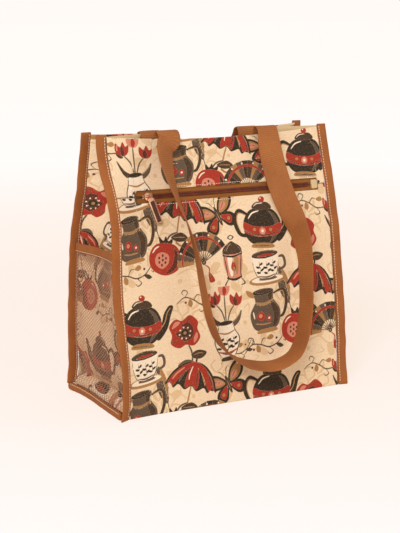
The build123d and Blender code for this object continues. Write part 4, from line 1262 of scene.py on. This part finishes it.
# %% Where the side walls stand
side_start = share_of(base_binding_height + seam_gap)
gusset_rows, gusset_columns = 265, 121
gusset_ripple, gusset_waves, gusset_pucker, gusset_pucker_pitch = 1.5, (26, 80), 0.3, 13
side_rows = np.array([side_start, 0.045, 0.06, 0.075, 0.09, 0.105] + list(rows[3:]))


def end_x(name, y, inset=0.0):
    """How far out the rolled binding at one end of the base reaches."""
    return half_width + along(base_edge[name], y / half_depth) - inset


def seam_y(side, name, share, gap):
    """Where a side wall meets the binding of a panel's side edge."""
    turn = np.radians(along(binding_turn[side, name], share))
    spot = wall_point(side, hands[name], share)[..., 1] - outward[side] * cloth / 2
    return spot - outward[side] * (binding_thick / 2 / np.cos(turn) + gap)


def side_x(name, y, share, place):
    """How far out a side wall stands."""
    upright = half_width - top_inset * share ** 2 + side_stand + along(side_foot, share)
    fold = along(side_fold, share) * np.sin(math.pi * place) ** 0.9
    ledge = ease(1 - (share - side_start) / 0.03) ** 2
    return (upright - fold) * (1 - ledge) + end_x(name, y, base_binding_thick - 0.7) * ledge


def net_x(name, y, share, place):
    """How far out the net stands."""
    edge = half_width + side_stand + along(net_stand, share)
    bow = along(net_bow, share) * np.sin(math.pi * place)
    ledge = ease(1 - (share - side_start) / 0.05) ** 2
    return (edge - bow) * (1 - ledge) + end_x(name, y, 0.2) * ledge


def on_side(name, reach, share, place, more=0.0):
    """Points on a side wall or its net, on a smooth run through the CAD's points."""
    rough_share, rough_place = side_rows[:, None], side_columns[None, :]
    room = seam_gap + 0.3 + fold_room * ease((rough_share - 0.45) / 0.3) + foot_room * ease(1 - rough_share / 0.2)
    front, back_y = seam_y("front", name, rough_share, room), seam_y("back", name, rough_share, room)
    narrow = side_pinch * ease((rough_share - 0.5) / 0.4) * np.sin(math.pi * rough_place) ** 0.5
    y = (front + back_y) / 2 + (back_y - front) * (rough_place - 0.5) * (1 - narrow)
    x = hands[name] * (reach(name, y, rough_share, rough_place) + more)
    z = np.broadcast_to(floor_gap + (bag_height - floor_gap) * rough_share, y.shape)
    rough = np.stack([x, y, z], -1)
    share, place = np.broadcast_arrays(np.asarray(share, float), np.asarray(place, float))
    up, over = smooth_weights(side_rows, share.ravel()), smooth_weights(side_columns, place.ravel())
    return np.einsum("nr,rck,nc->nk", up, rough, over, optimize=True).reshape(share.shape + (3,))


print("the left side's middle:", on_side("left", side_x, 0.5, 0.5).round(1))

# %% Gussets
def gusset(name, seed, shift):
    """One side wall with its picture."""
    share = np.linspace(side_start, 1, gusset_rows)[:, None]
    place = np.linspace(0, 1, gusset_columns)[None, :]
    grid = on_side(name, side_x, share, place)
    wide = bag_depth * 0.97
    u = (place - 0.5) * wide * hands[name] * -1 + 0 * share
    v = share * bag_height + 0 * place
    normals = grid_normals(grid)
    normals *= np.sign(normals.reshape(-1, 3).mean(0)[0]) * hands[name]
    edge = np.minimum(place, 1 - place) * wide + 0 * v
    stand = ripples(u, v, gusset_ripple, seed, *gusset_waves) * ease(edge / 16) * ease((v - 20) / 30)
    stand += gusset_pucker * np.exp(-edge / 6) * np.sin(v * 2 * math.pi / gusset_pucker_pitch + seed)
    grid = grid + normals * stand[..., None]
    lay = flat_lay(u, v)
    fields = woven_picture(lay.reshape(-1, 2), np.array(shift, float))
    made = cloth_piece(name + "_side", grid, cloth, (hands[name], 0, 0), lay, [tapestry, lining], fields)
    return finish_piece(made, "tapestry", name + "_gusset")


gusset("left", 11, (-30.0, -120.0))
gusset("right", 12, (-120.0, -20.0))

# %% [markdown]
# ## Base
# The base is the same cloth, stretched flat under a stiff board. Its long edges follow the feet of the two panels and
# its short ones the rolled bindings, so its grid is drawn between those lines and nothing has to be trimmed.

# %% Base cloth
base_u, base_t = np.linspace(-1, 1, 161), np.linspace(0, 1, 73)
foot_front = on_wall("front", base_u * 0.985, 0.0)[:, 1] + cloth + seam_gap
foot_back = on_wall("back", base_u * 0.985, 0.0)[:, 1] - cloth - seam_gap
base_y = foot_front[None, :] + (foot_back - foot_front)[None, :] * base_t[:, None]
reach_left, reach_right = (end_x(name, base_y, base_binding_thick + seam_gap) for name in hands)
base_x = np.where(base_u[None, :] < 0, reach_left, reach_right) * base_u[None, :]
base_grid = np.stack([base_x, base_y, np.full_like(base_y, 0.15)], -1)
base_lay = flat_lay(base_x, base_y)
base_fields = woven_picture(base_lay.reshape(-1, 2), np.array([-70.0, -90.0]))
base = cloth_piece("base", base_grid, base_thick - 0.2, (0, 0, -1), base_lay, [tapestry, lining], base_fields)
finish_piece(base, "tapestry", "base_panel")

# %% [markdown]
# ## Bindings
# Folded brown tape covers every upright corner seam and stands out from it like a fin. Its section has the fold at
# the outer edge, two soft faces, and a valley beside the inner edge where pale thread sews it down through all
# layers. It is run along the corner's own line, with the small waves that such a tape keeps.

# %% Section and line of a corner binding
stitch_valley, back_tape_foot, tape_middle = 2.3, 10.8, 6.7
edge_wander, tape_sway, calm_end, ring_step = 0.3, 0.45, 12, 1.5
half_tape = [(0.1, 0.9), (0.5, 1.45), (1.5, 1.35), (2.3, 1.0), (3.1, 1.4), (5.0, 1.6), (8.0, 1.62), (11.0, 1.5),
             (12.6, 1.1), (13.35, 0.5)]
tape_section = np.array(half_tape + [(a, -b) for a, b in reversed(half_tape)])


def smooth_noise(t, seed, wave):
    """Slow random waves along a line, between about -1 and 1."""
    dice = np.random.default_rng(seed)
    return sum(np.sin(2 * math.pi * t / (wave * dice.uniform(0.6, 1.6)) + dice.uniform(0,
                                                                                       6.3)) for _ in range(4)) / 3


def binding_line(side, name, seed):
    """Feet, outward directions and side directions of a corner binding, from its foot to its top."""
    start = 0.0 if side == "front" else share_of(back_tape_foot)
    length = (1 - start) * bag_height + binding_rise
    t = np.append(np.arange(0, length, ring_step), length)
    share = np.minimum(start + t / bag_height, 1.0)
    turn = np.radians(smooth_weights(rows, share) @ along(binding_turn[side, name], rows))
    over = np.stack([hands[name] * np.cos(turn), outward[side] * np.sin(turn), 0 * turn], -1)
    foot = edge_middle(side, name, share)
    foot[:, 2] += np.maximum(start * bag_height + t - bag_height, 0)
    face = np.cross(over, [0.0, 0, 1.0])
    ends = ease(t / calm_end) * ease((length - t) / calm_end)
    foot = foot + over * (edge_wander * smooth_noise(t, seed, 26) * ends)[:, None]
    sway = tape_sway * smooth_noise(t, seed + 50, 34) * ends
    return t, foot, over, face, sway


print("points round the tape:", len(tape_section))

# %% Corner bindings
for number, (side, name) in enumerate([(s, n) for s in outward for n in hands]):
    t, foot, over, face, sway = binding_line(side, name, 60 + number)
    end = np.minimum(t, t[-1] - t)
    close = rounded_end(end, 1.6, 0.12)
    a, b = tape_section[:, 0][None, :], tape_section[:, 1][None, :]
    thin = (1 + 0.06 * np.sin(2 * math.pi * t / 3.3))[:, None]
    reach = tape_middle + (a - tape_middle) * (0.9 + 0.1 * close)
    high = b * close * thin + sway[:, None] * ease((a - 2) / 11)
    rings = foot[:, None] + over[:, None] * reach[..., None] + face[:, None] * high[..., None]
    lay = flat_lay(a, t[:, None])
    node = f"{side}_{name}_binding"
    finish_piece(run_piece(node + "_tape", rings, lay, binding_tape), "binding", node)
    inside = slice(4, -3)
    seams = [(foot + over * stitch_valley + face * (h * 1.12))[inside] for h in (-1, 1)]
    sewn(node + "_stitches", seams, white_thread, pitch=3.6, length=2.7, width=0.85)

# %% [markdown]
# ## Rolled bindings of the base and the tape of the pockets
# The short ends of the base are bound too, but their tape is rolled over thick layers, so it is round and wavy. The
# net pockets end in a band of the same tape, sewn along its lower edge.

# %% Base bindings
roll_wave, curl_rise, roll_seam_height = 0.35, 1.2, 8.1
for number, name in enumerate(hands):
    hand = hands[name]
    front = edge_middle("front", name, 0.0)[0, 1] + binding_thick / 2 + seam_gap
    y = np.linspace(front, half_depth * 1.02, 100)
    run = y - y[0]
    end = np.minimum(run, run[-1] - run)
    close = rounded_end(end, 2.2, 0.15)
    angle = np.linspace(0, 2 * math.pi, 18, endpoint=False)
    across_roll = squared(np.cos(angle), 0.75) * base_binding_thick / 2
    up_roll = squared(np.sin(angle), 0.75) * base_binding_height / 2
    dent = 0.5 * np.exp(-((up_roll - 3.0) / 0.8) ** 2) * (np.cos(angle) > 0)
    wave = roll_wave * smooth_noise(run, 80 + number, 22)[:, None]
    curl = (ease((run - run[-1] + 26) / 20) ** 2)[:, None]
    x = end_x(name, y, base_binding_thick / 2)[:, None] + (across_roll - dent)[None, :] * close + wave * 0.6
    z = base_binding_height / 2 + up_roll[None, :] * close * (1 + 0.03 * wave + 0.12 * curl) + curl_rise * curl
    rings = np.stack(np.broadcast_arrays(hand * x, y[:, None], np.maximum(z, 0.0)), -1)
    lay = flat_lay(up_roll[None, :], run[:, None])
    finish_piece(run_piece(name + "_base_tape", rings, lay, binding_tape), "binding", name + "_base_binding")
    edge_x = end_x(name, y, 0.1) + 0.6 * wave[:, 0] - 0.35
    seam = np.stack([hand * edge_x, y, roll_seam_height + 1.6 * curl[:, 0]], -1)[3:-3]
    sewn(name + "_base_stitches", [seam], white_thread, pitch=3.8, length=2.8, width=0.85)

# %% Bands of the net pockets
band_low, band_high = share_of(pocket_height - pocket_band), share_of(pocket_height)
band_profile = [(-1.0, 0.0), (-0.97, 0.75), (-0.86, 1.0), (-0.7, 0.62), (-0.55, 0.98), (0, 1.05), (0.6, 1.0),
                (0.9, 0.85),
                (0.99, 0.4)]
band_section = np.array(band_profile + [(0.99, -0.4)] + [(a, -b) for a, b in band_profile[:0:-1]][1:])
for number, name in enumerate(hands):
    place = np.linspace(0, 1, 110)
    middle = (band_low + band_high) / 2
    share = middle + band_section[None, :, 0] * (band_high - band_low) / 2
    skin = on_side(name, net_x, share, place[:, None], -net_thick / 2)
    end = np.minimum(place, 1 - place) * pocket_wide
    wave = 0.5 * smooth_noise(place * pocket_wide, 90 + number, 40) * ease(end / 10)
    skin[..., 0] += hands[name] * band_section[None, :, 1] * pocket_band_thick / 2 * rounded_end(end, 1.5, 0.15)
    skin[..., 0] += hands[name] * wave[:, None]
    lay = flat_lay(band_section[None, :, 0] * pocket_band / 2, place[:, None] * pocket_wide)
    finish_piece(run_piece(name + "_pocket_tape", skin, lay, binding_tape), "binding", name + "_pocket_binding")
    line = on_side(name, net_x, middle - 0.7 * (band_high - band_low) / 2, place)
    line[:, 0] += hands[name] * (1.05 + wave)
    sewn(name + "_pocket_stitches", [line[2:-2]], white_thread, pitch=3.4, length=2.5, width=0.8)

# %% [markdown]
# ## Net pockets
# The net is knitted of soft cords that cross in diamonds seven millimetres wide and not quite five high. Its cords
# follow two sets of diagonals over the pocket's curved wall, each as one line, and a small tree makes them round.
# Under the band the net is doubled, as where its hem is turned, which makes a darker strip.

# %% Diagonals of the net
net_low, net_high = side_start, share_of(pocket_height - pocket_band - seam_gap)
cell_wide, cell_high = 7.0, 4.7
cord_radius, net_flat = 0.3, (0.150, 0.178)
net_slack, doubled_rows, doubled_behind = 1.3, 4, 0.8


def diagonals(wide, high, first_row, slip):
    """Lines of (place, height) points along both diagonals of a rectangle, in shares of it, and its rows of cells.

    The lines start at first_row, and slip sets them half a cell over.
    """
    steps_wide, steps_high = round(2 * wide / cell_wide), round(2 * high / cell_high)
    out = []
    for lean in (1, -1):
        for start in range(-steps_high, steps_wide + steps_high + 1):
            if (start + slip) % 2:
                continue
            line = [((start + lean * k) / steps_wide, k / steps_high)
                    for k in range(first_row, steps_high + 1) if 0 <= start + lean * k <= steps_wide]
            if len(line) > 1:
                out.append(line)
    return out, steps_high


print("diamonds of the net:", cell_wide, "by", cell_high, "mm")

# %% Cords of the net
for number, name in enumerate(hands):
    high_mm = (net_high - net_low) * bag_height
    single, tall = diagonals(pocket_wide, high_mm, 0, 0)
    doubled, tall = diagonals(pocket_wide, high_mm, tall - doubled_rows, 1)
    placed_lines = []
    for lines, more in ((single, -net_thick / 2), (doubled, -net_thick / 2 - doubled_behind)):
        counts = [len(line) for line in lines]
        spots = np.concatenate(lines)
        place = 0.006 + 0.988 * spots[:, 0]
        share = net_low + 0.004 + (net_high - net_low - 0.002) * spots[:, 1]
        skin = on_side(name, net_x, share, place, more)
        slack = ripples(place * pocket_wide, share * bag_height, net_slack, 20 + number, 30, 70)
        slack *= ease(np.minimum(place, 1 - place) * 12) * ease((share - net_low) * 14)
        skin[:, 0] += hands[name] * np.minimum(slack, 1.6)
        skin[:, 1] += 0.35 * np.sin(share * bag_height * 0.7 + place * 31)
        placed_lines += np.split(skin, np.cumsum(counts)[:-1])
    net = settled(lines_object(name + "_pocket_net", placed_lines), cords,
                  {"Radius": cord_radius * MM, "Sides": 4, "Material": net_thread})
    print(net.name, "cords", len(placed_lines), "faces", len(net.data.polygons))
    finish_piece(net, "mesh", name + "_pocket_mesh")

# %% [markdown]
# ## Handles
# Each handle is one length of ribbed webbing, sewn inside the top edge at both ends. It comes up over the edge and
# hangs as a slack loop, turning from broad to edge-on on the way down. The line of the CAD handle is repeated here as
# stations of place and direction; a smooth run through them carries the section, whose ribs are real.

# %% Stations of the handles: place, turn and rise of the webbing's width
webbing_width, webbing_thick, handle_rise, rib_pitch = 30.0, 1.8, 10.0, 2.4
sewn_drops = (8.0, 34.0)
handle_ends = (-77.0, 68.0)
handle_stand = {"front": 1.3, "back": 1.5}
front_loop = [
    (-83, -42, 327, 19, 0), (-84, -49, 303, 36, 0), (-78, -60, 269, 53, 0), (-67, -70, 232, 66, 0),
    (-60, -79, 196, 74, 0), (-55, -88, 150, 79, 0), (-48, -94, 111, 84, 2), (-38, -96, 87, 88, 8),
    (-23, -97, 69, 90, 14), (-5, -98, 57, 90, 15), (16, -98, 50, 90, 15), (36, -98, 47, 90, 12),
    (56, -97, 49, 90, 6), (73, -97, 57, 91, 0), (85, -95, 74, 92, -4), (93, -92, 106, 92, -4),
    (97, -86, 148, 93, 0), (99, -79, 184, 99, 0), (96, -73, 208, 115, 0), (88, -67, 231, 138, 0),
    (79, -58, 258, 149, 0), (71, -49, 292, 156, 0), (66, -43, 325, 168, 0),
]
back_loop = [
    (-79, 40, 322, -12, 0), (-81, 50, 295, -30, 0), (-78, 60, 262, -50, 0), (-70, 71, 222, -68, 0),
    (-62, 81, 178, -80, 0), (-54, 90, 132, -86, 0), (-43, 95, 98, -90, -4), (-24, 97, 74, -90, -8),
    (0, 98, 63, -90, -10), (24, 97, 66, -90, -8), (46, 96, 82, -92, -4), (60, 92, 112, -96, 0),
    (70, 85, 155, -104, 0), (77, 76, 200, -118, 0), (80, 66, 244, -135, 0), (79, 55, 285, -152, 0),
    (75, 45, 318, -168, 0),
]
print("stations: front", len(front_loop), "back", len(back_loop))


# %% A handle's run
def over_edge(side, x):
    """Stations of a handle from its sewn end, up inside the panel, over its top edge and out."""
    inward = np.array([0, -outward[side] * (cloth + handle_stand[side] + webbing_thick / 2), 0])
    shares = [share_of(bag_height - depth) for depth in (40.0, 20.0)] + [1.0]
    sewn_part = [wall_point(side, x / half_width, share) + inward for share in shares]
    crest = [(0, 1), (1.2, 5.5), (5.5, handle_rise), (10.5, 8.0), (14.0, 2.0)]
    return sewn_part[:2] + [sewn_part[2] + np.array([0, outward[side] * reach, rise]) for reach, rise in crest]


def webbing_run(side, loop):
    """Dense centres, width directions and distances along one handle."""
    start, end = (over_edge(side, x) for x in handle_ends)
    centres = np.array(start + [place[:3] for place in loop] + end[::-1], float)
    turns, rises = np.radians([place[3] for place in loop]), np.radians([place[4] for place in loop])
    swung = np.stack([np.cos(rises) * np.cos(turns), np.cos(rises) * np.sin(turns), np.sin(rises)], -1)
    widths = np.concatenate([np.tile([1.0, 0, 0], (len(start), 1)), swung, np.tile([-1.0, 0, 0], (len(end), 1))])
    knots = np.concatenate([[0], np.cumsum(np.linalg.norm(np.diff(centres, axis=0), axis=1))])
    run = np.arange(0, knots[-1], 0.6)
    weights = smooth_weights(knots, run)
    line = weights @ centres
    along_run = unit(np.gradient(line, axis=0))
    across = weights @ widths
    across = unit(across - along_run * (across * along_run).sum(-1, keepdims=True))
    return run, line, along_run, across


print("front handle:", round(webbing_run("front", front_loop)[0][-1]), "mm long")

# %% Webbing
q = np.sin(np.linspace(-math.pi / 2, math.pi / 2, 13))
half_section = np.stack([q, (1 - np.abs(q) ** 9 * 0.62) + 0.14 * np.exp(-((np.abs(q) - 0.9) / 0.06) ** 2)], -1)
webbing_section = np.concatenate([half_section, (half_section * [1, -1])[::-1]])
for side, loop in (("front", front_loop), ("back", back_loop)):
    run, line, along_run, across = webbing_run(side, loop)
    face = np.cross(across, along_run)
    rib = 0.5 + 0.5 * np.cos(2 * math.pi * run / rib_pitch)
    close = np.clip(np.minimum(run, run[-1] - run) / 1.5, 0.4, 1)
    a, b = webbing_section[None, :, 0], webbing_section[None, :, 1]
    inner = 1 - np.abs(a) ** 6
    high = b * (webbing_thick / 2 - 0.16 + 0.26 * rib[:, None] * inner) * close[:, None]
    cup = 0.5 * smooth_noise(run, 33, 90)[:, None] * (a ** 2 - 0.4)
    rings = (line[:, None] + across[:, None] * (a * webbing_width / 2)[..., None]
             + face[:, None] * (high + cup)[..., None])
    lay = flat_lay(a * webbing_width / 2, run[:, None])
    node = side + "_handle"
    made = finish_piece(run_piece(node + "_webbing", rings, lay, webbing), "webbing", node)
    print(made.name, "length", round(run[-1]), "mm, faces", len(made.data.polygons))

# %% [markdown]
# ### Sewing of the handles
# Two rows of pale stitches show on the outside of the panel where each end is sewn down behind it. They are laid on
# the finished cloth's own surface, so that they keep touching it where it swells.

# %% Rows through the panels
for side, shown in (("front", front_upper), ("back", back)):
    rows_sewn = []
    for x in handle_ends:
        for drop in sewn_drops:
            across = np.linspace(x - 13.5, x + 13.5, 24) / half_width
            spots = on_wall(side, across, share_of(bag_height - drop))
            rows_sewn.append(laid_on(shown, spots + np.array([0, outward[side] * 2.0, 0]), 0.2))
    sewn(side + "_handle_stitches", rows_sewn, white_thread, pitch=3.4, length=2.5, width=0.8)

# %% [markdown]
# ## Zip
# Two woven tapes lie behind the window and carry the two rows of a nylon coil. They part a little before the coil
# begins, and dip where the panel in front of them does.

# %% Tapes
slider_at, tape_depth, zip_tape_width, tape_thick = -106.0, cloth + seam_gap, 15.0, 0.6
coil_start, coil_end = slider_at - 5.8, zip_right - 11.3
for name, hand in (("upper", 1), ("lower", -1)):
    x = np.linspace(zip_left - 5.5, zip_right + 5.5, 281)[None, :]
    t = np.linspace(0, 1, 17)[:, None]
    parted = 1.4 * ease((coil_start - x) / 12)
    up = hand * (0.8 + parted + (zip_tape_width - 0.4) * t)
    out = -tape_depth - 0.05 - 0.25 * np.sin(x / 3.1) * ease((2.5 - np.abs(up)) / 2)
    grid = zip_place(x, up, out)
    near = on_wall("front", grid[..., 0] / half_width, share_at_up(grid[0, ::10, 0] / half_width, 0.0).mean())
    grid[..., 1] += np.minimum(near[..., 1] - near[:, 140:141, 1], 0)
    made = cloth_piece("zip_" + name + "_cloth", grid, tape_thick, (0, -1, 0), flat_lay(x, up), [zip_tape, zip_tape])
    finish_piece(made, "zip_tape", "zip_" + name + "_tape")

# %% [markdown]
# ### Coil
# Each link of the coil is a bent length of wire that hooks past the middle line. A tree sets a row of copies of one
# link, and the other row is the same link turned over and set half a step along, as in a real coil. Fine brown
# stitches hold the coil to its tapes.

# %% Coil
link_run = smooth_ring([(-0.5, 2.95, 0.45), (-0.35, 2.2, 1.35), (-0.1, 1.1, 1.62), (0.1, 0.2, 1.35),
                        (0.22, -0.12, 0.85),
                        (0.38, 0.25, 0.42), (0.6, 1.2, 0.35), (0.8, 2.2, 0.38), (1.0, 2.95, 0.45)], closed=False,
                        steps=2)
wire_radius, coil_pitch = 0.34, 1.5
for name, hand in (("upper", 1), ("lower", -1)):
    over = coil_start + 0.6 + (coil_pitch / 2 if hand < 0 else 0.0)
    middle = zip_place(over + link_run[:, 0], hand * link_run[:, 1], -tape_depth + link_run[:, 2])
    run = unit(np.gradient(middle, axis=0))
    side_way = unit(np.cross(run, [0.9, 0.1, 0.2]))
    over_way = np.cross(run, side_way)
    angle = np.linspace(0, 2 * math.pi, 6, endpoint=False)
    rings = middle[:, None] + wire_radius * (np.cos(angle)[None, :, None] * side_way[:, None]
                                             + np.sin(angle)[None, :, None] * over_way[:, None])
    link = run_piece("zip_" + name + "_coil", rings, np.zeros(rings.shape[:2] + (2,)), coil_nylon)
    count = int((coil_end - coil_start - 2.0) / coil_pitch)
    settled(link, row, {"Count": count, "Step": (coil_pitch * MM, 0.0, 0.0), "Material": coil_nylon})
    print(link.name, "links", count, "faces", len(link.data.polygons))
    finish_piece(link, "zip_teeth", "zip_" + name + "_teeth")
x = np.linspace(coil_start, coil_end, 200)
sewn("zip_coil_stitches", [zip_place(x, up, -tape_depth + 0.95) for up in (-2.1, 2.1)], brown_thread, pitch=1.5,
     length=1.3, width=0.5)

# %% [markdown]
# ### Sewing and tab
# Pale rows sew the window's edges down on the tapes, a brown bar closes the window's left end, and a small folded
# tab of pale cloth covers the tapes' right end and stops the slider.

# %% Rows beside the window
window_x = np.linspace(zip_left - 2, zip_right + 2, 320)
seam_up = zip_window / 2 + window_seam


def on_front(x, up, lift):
    """Points on the front panel at distances along and up from the zip's middle, lifted off the cloth."""
    across = x / front_half * panel_edge
    return on_wall("front", across, share_at_up(across, up)) + lift * zip_out


window_rows = [laid_on(shown, on_front(window_x, np.full_like(window_x, up), 2.0), 0.2)
               for shown, up in ((front_lower, -seam_up), (front_upper, seam_up))]
sewn("zip_window_stitches", window_rows, white_thread, pitch=3.3, length=2.4, width=0.8)

# %% Bar at the left end, tab at the right end
bar = [on_front(np.full(8, zip_left - 1.5 + 0.5 * k), np.linspace(-5, 5, 8), 0.75) for k in range(5)]
sewn("zip_bar_stitches", bar, brown_thread, pitch=1.6, length=1.7, width=0.6)
tab_half, tab_thick = 5.9, 1.5
tab_x = np.linspace(zip_right - 11.0, zip_right - 0.5, 30)
tab_high = np.sqrt(np.clip(1 - (np.abs(tab_x - tab_x.mean()) / tab_half) ** 8, 0.1, 1))
tab_angle = np.linspace(0, 2 * math.pi, 20, endpoint=False)
tab_up = squared(np.cos(tab_angle), 0.4) * tab_half
tab_out = squared(np.sin(tab_angle), 0.7) * tab_thick / 2
dent = 0.3 * np.exp(-((tab_x - zip_right + 3.2) / 0.7) ** 2)[:, None]
tab_rings = zip_place(tab_x[:, None], tab_up[None, :] * tab_high[:, None],
                      -tape_depth + tab_thick / 2 + (tab_out[None, :] - dent) * tab_high[:, None])
tab_lay = flat_lay(tab_x[:, None], tab_up[None, :])
finish_piece(run_piece("zip_end_tape", tab_rings, tab_lay, lining), "zip_tape", "zip_end_tab")
sewn("zip_end_stitches", [zip_place(np.full(12, zip_right - 10.6), np.linspace(-5, 5, 12), -tape_depth + 1.45)],
     brown_thread, pitch=1.5, length=1.6, width=0.7)

# %% [markdown]
# ## What stays from the CAD, and the bag behind the zip
# The slider, its pull, the leather insert, the two stops and the board are hard parts, and their solids already have
# the right shape, so they keep it and get their finish. Behind the front hangs the zip pocket's own thin bag.

# %% Finishes of the hard parts
for node, material in (("zip_slider", rose_metal), ("zip_pull", rose_metal), ("zip_top_stops", rose_metal),
                       ("zip_pull_insert", insert_leather), ("base_board", board_cover)):
    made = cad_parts[node]
    made.data.materials.clear()
    made.data.materials.append(material)
    print(node, "in", material.name)

# %% Zip pocket's bag
bag_drop, bag_above, bag_thick = 148, 13.5, 0.7
bag_x = np.linspace(zip_left + 3, zip_right - 3, 89)[None, :]
bag_share = np.linspace(share_of(zip_height - bag_drop), share_of(zip_height + bag_above), 61)[:, None]
lay = flat_lay(bag_x, bag_share * bag_height)
skin = on_wall("front", bag_x / front_half, bag_share)
deep = 3.6 + 2.3 * ease((bag_share - share_of(zip_height - 30)) / 0.05) + ripples(lay[..., 0], lay[..., 1], 0.35,
                                                                                  44)
flat_front = zip_place(bag_x, (bag_share - share_of(zip_height)) * bag_height, 0.0)
skin[..., 1] = np.maximum(skin[..., 1], np.minimum(flat_front[..., 1], skin[..., 1] + 4)) + deep
hung = cloth_piece("zip_pocket_lining", skin, bag_thick, (0, -1, 0), lay, [pocket_cloth, pocket_cloth])
finish_piece(hung, "pocket_cloth", "zip_pocket_bag")
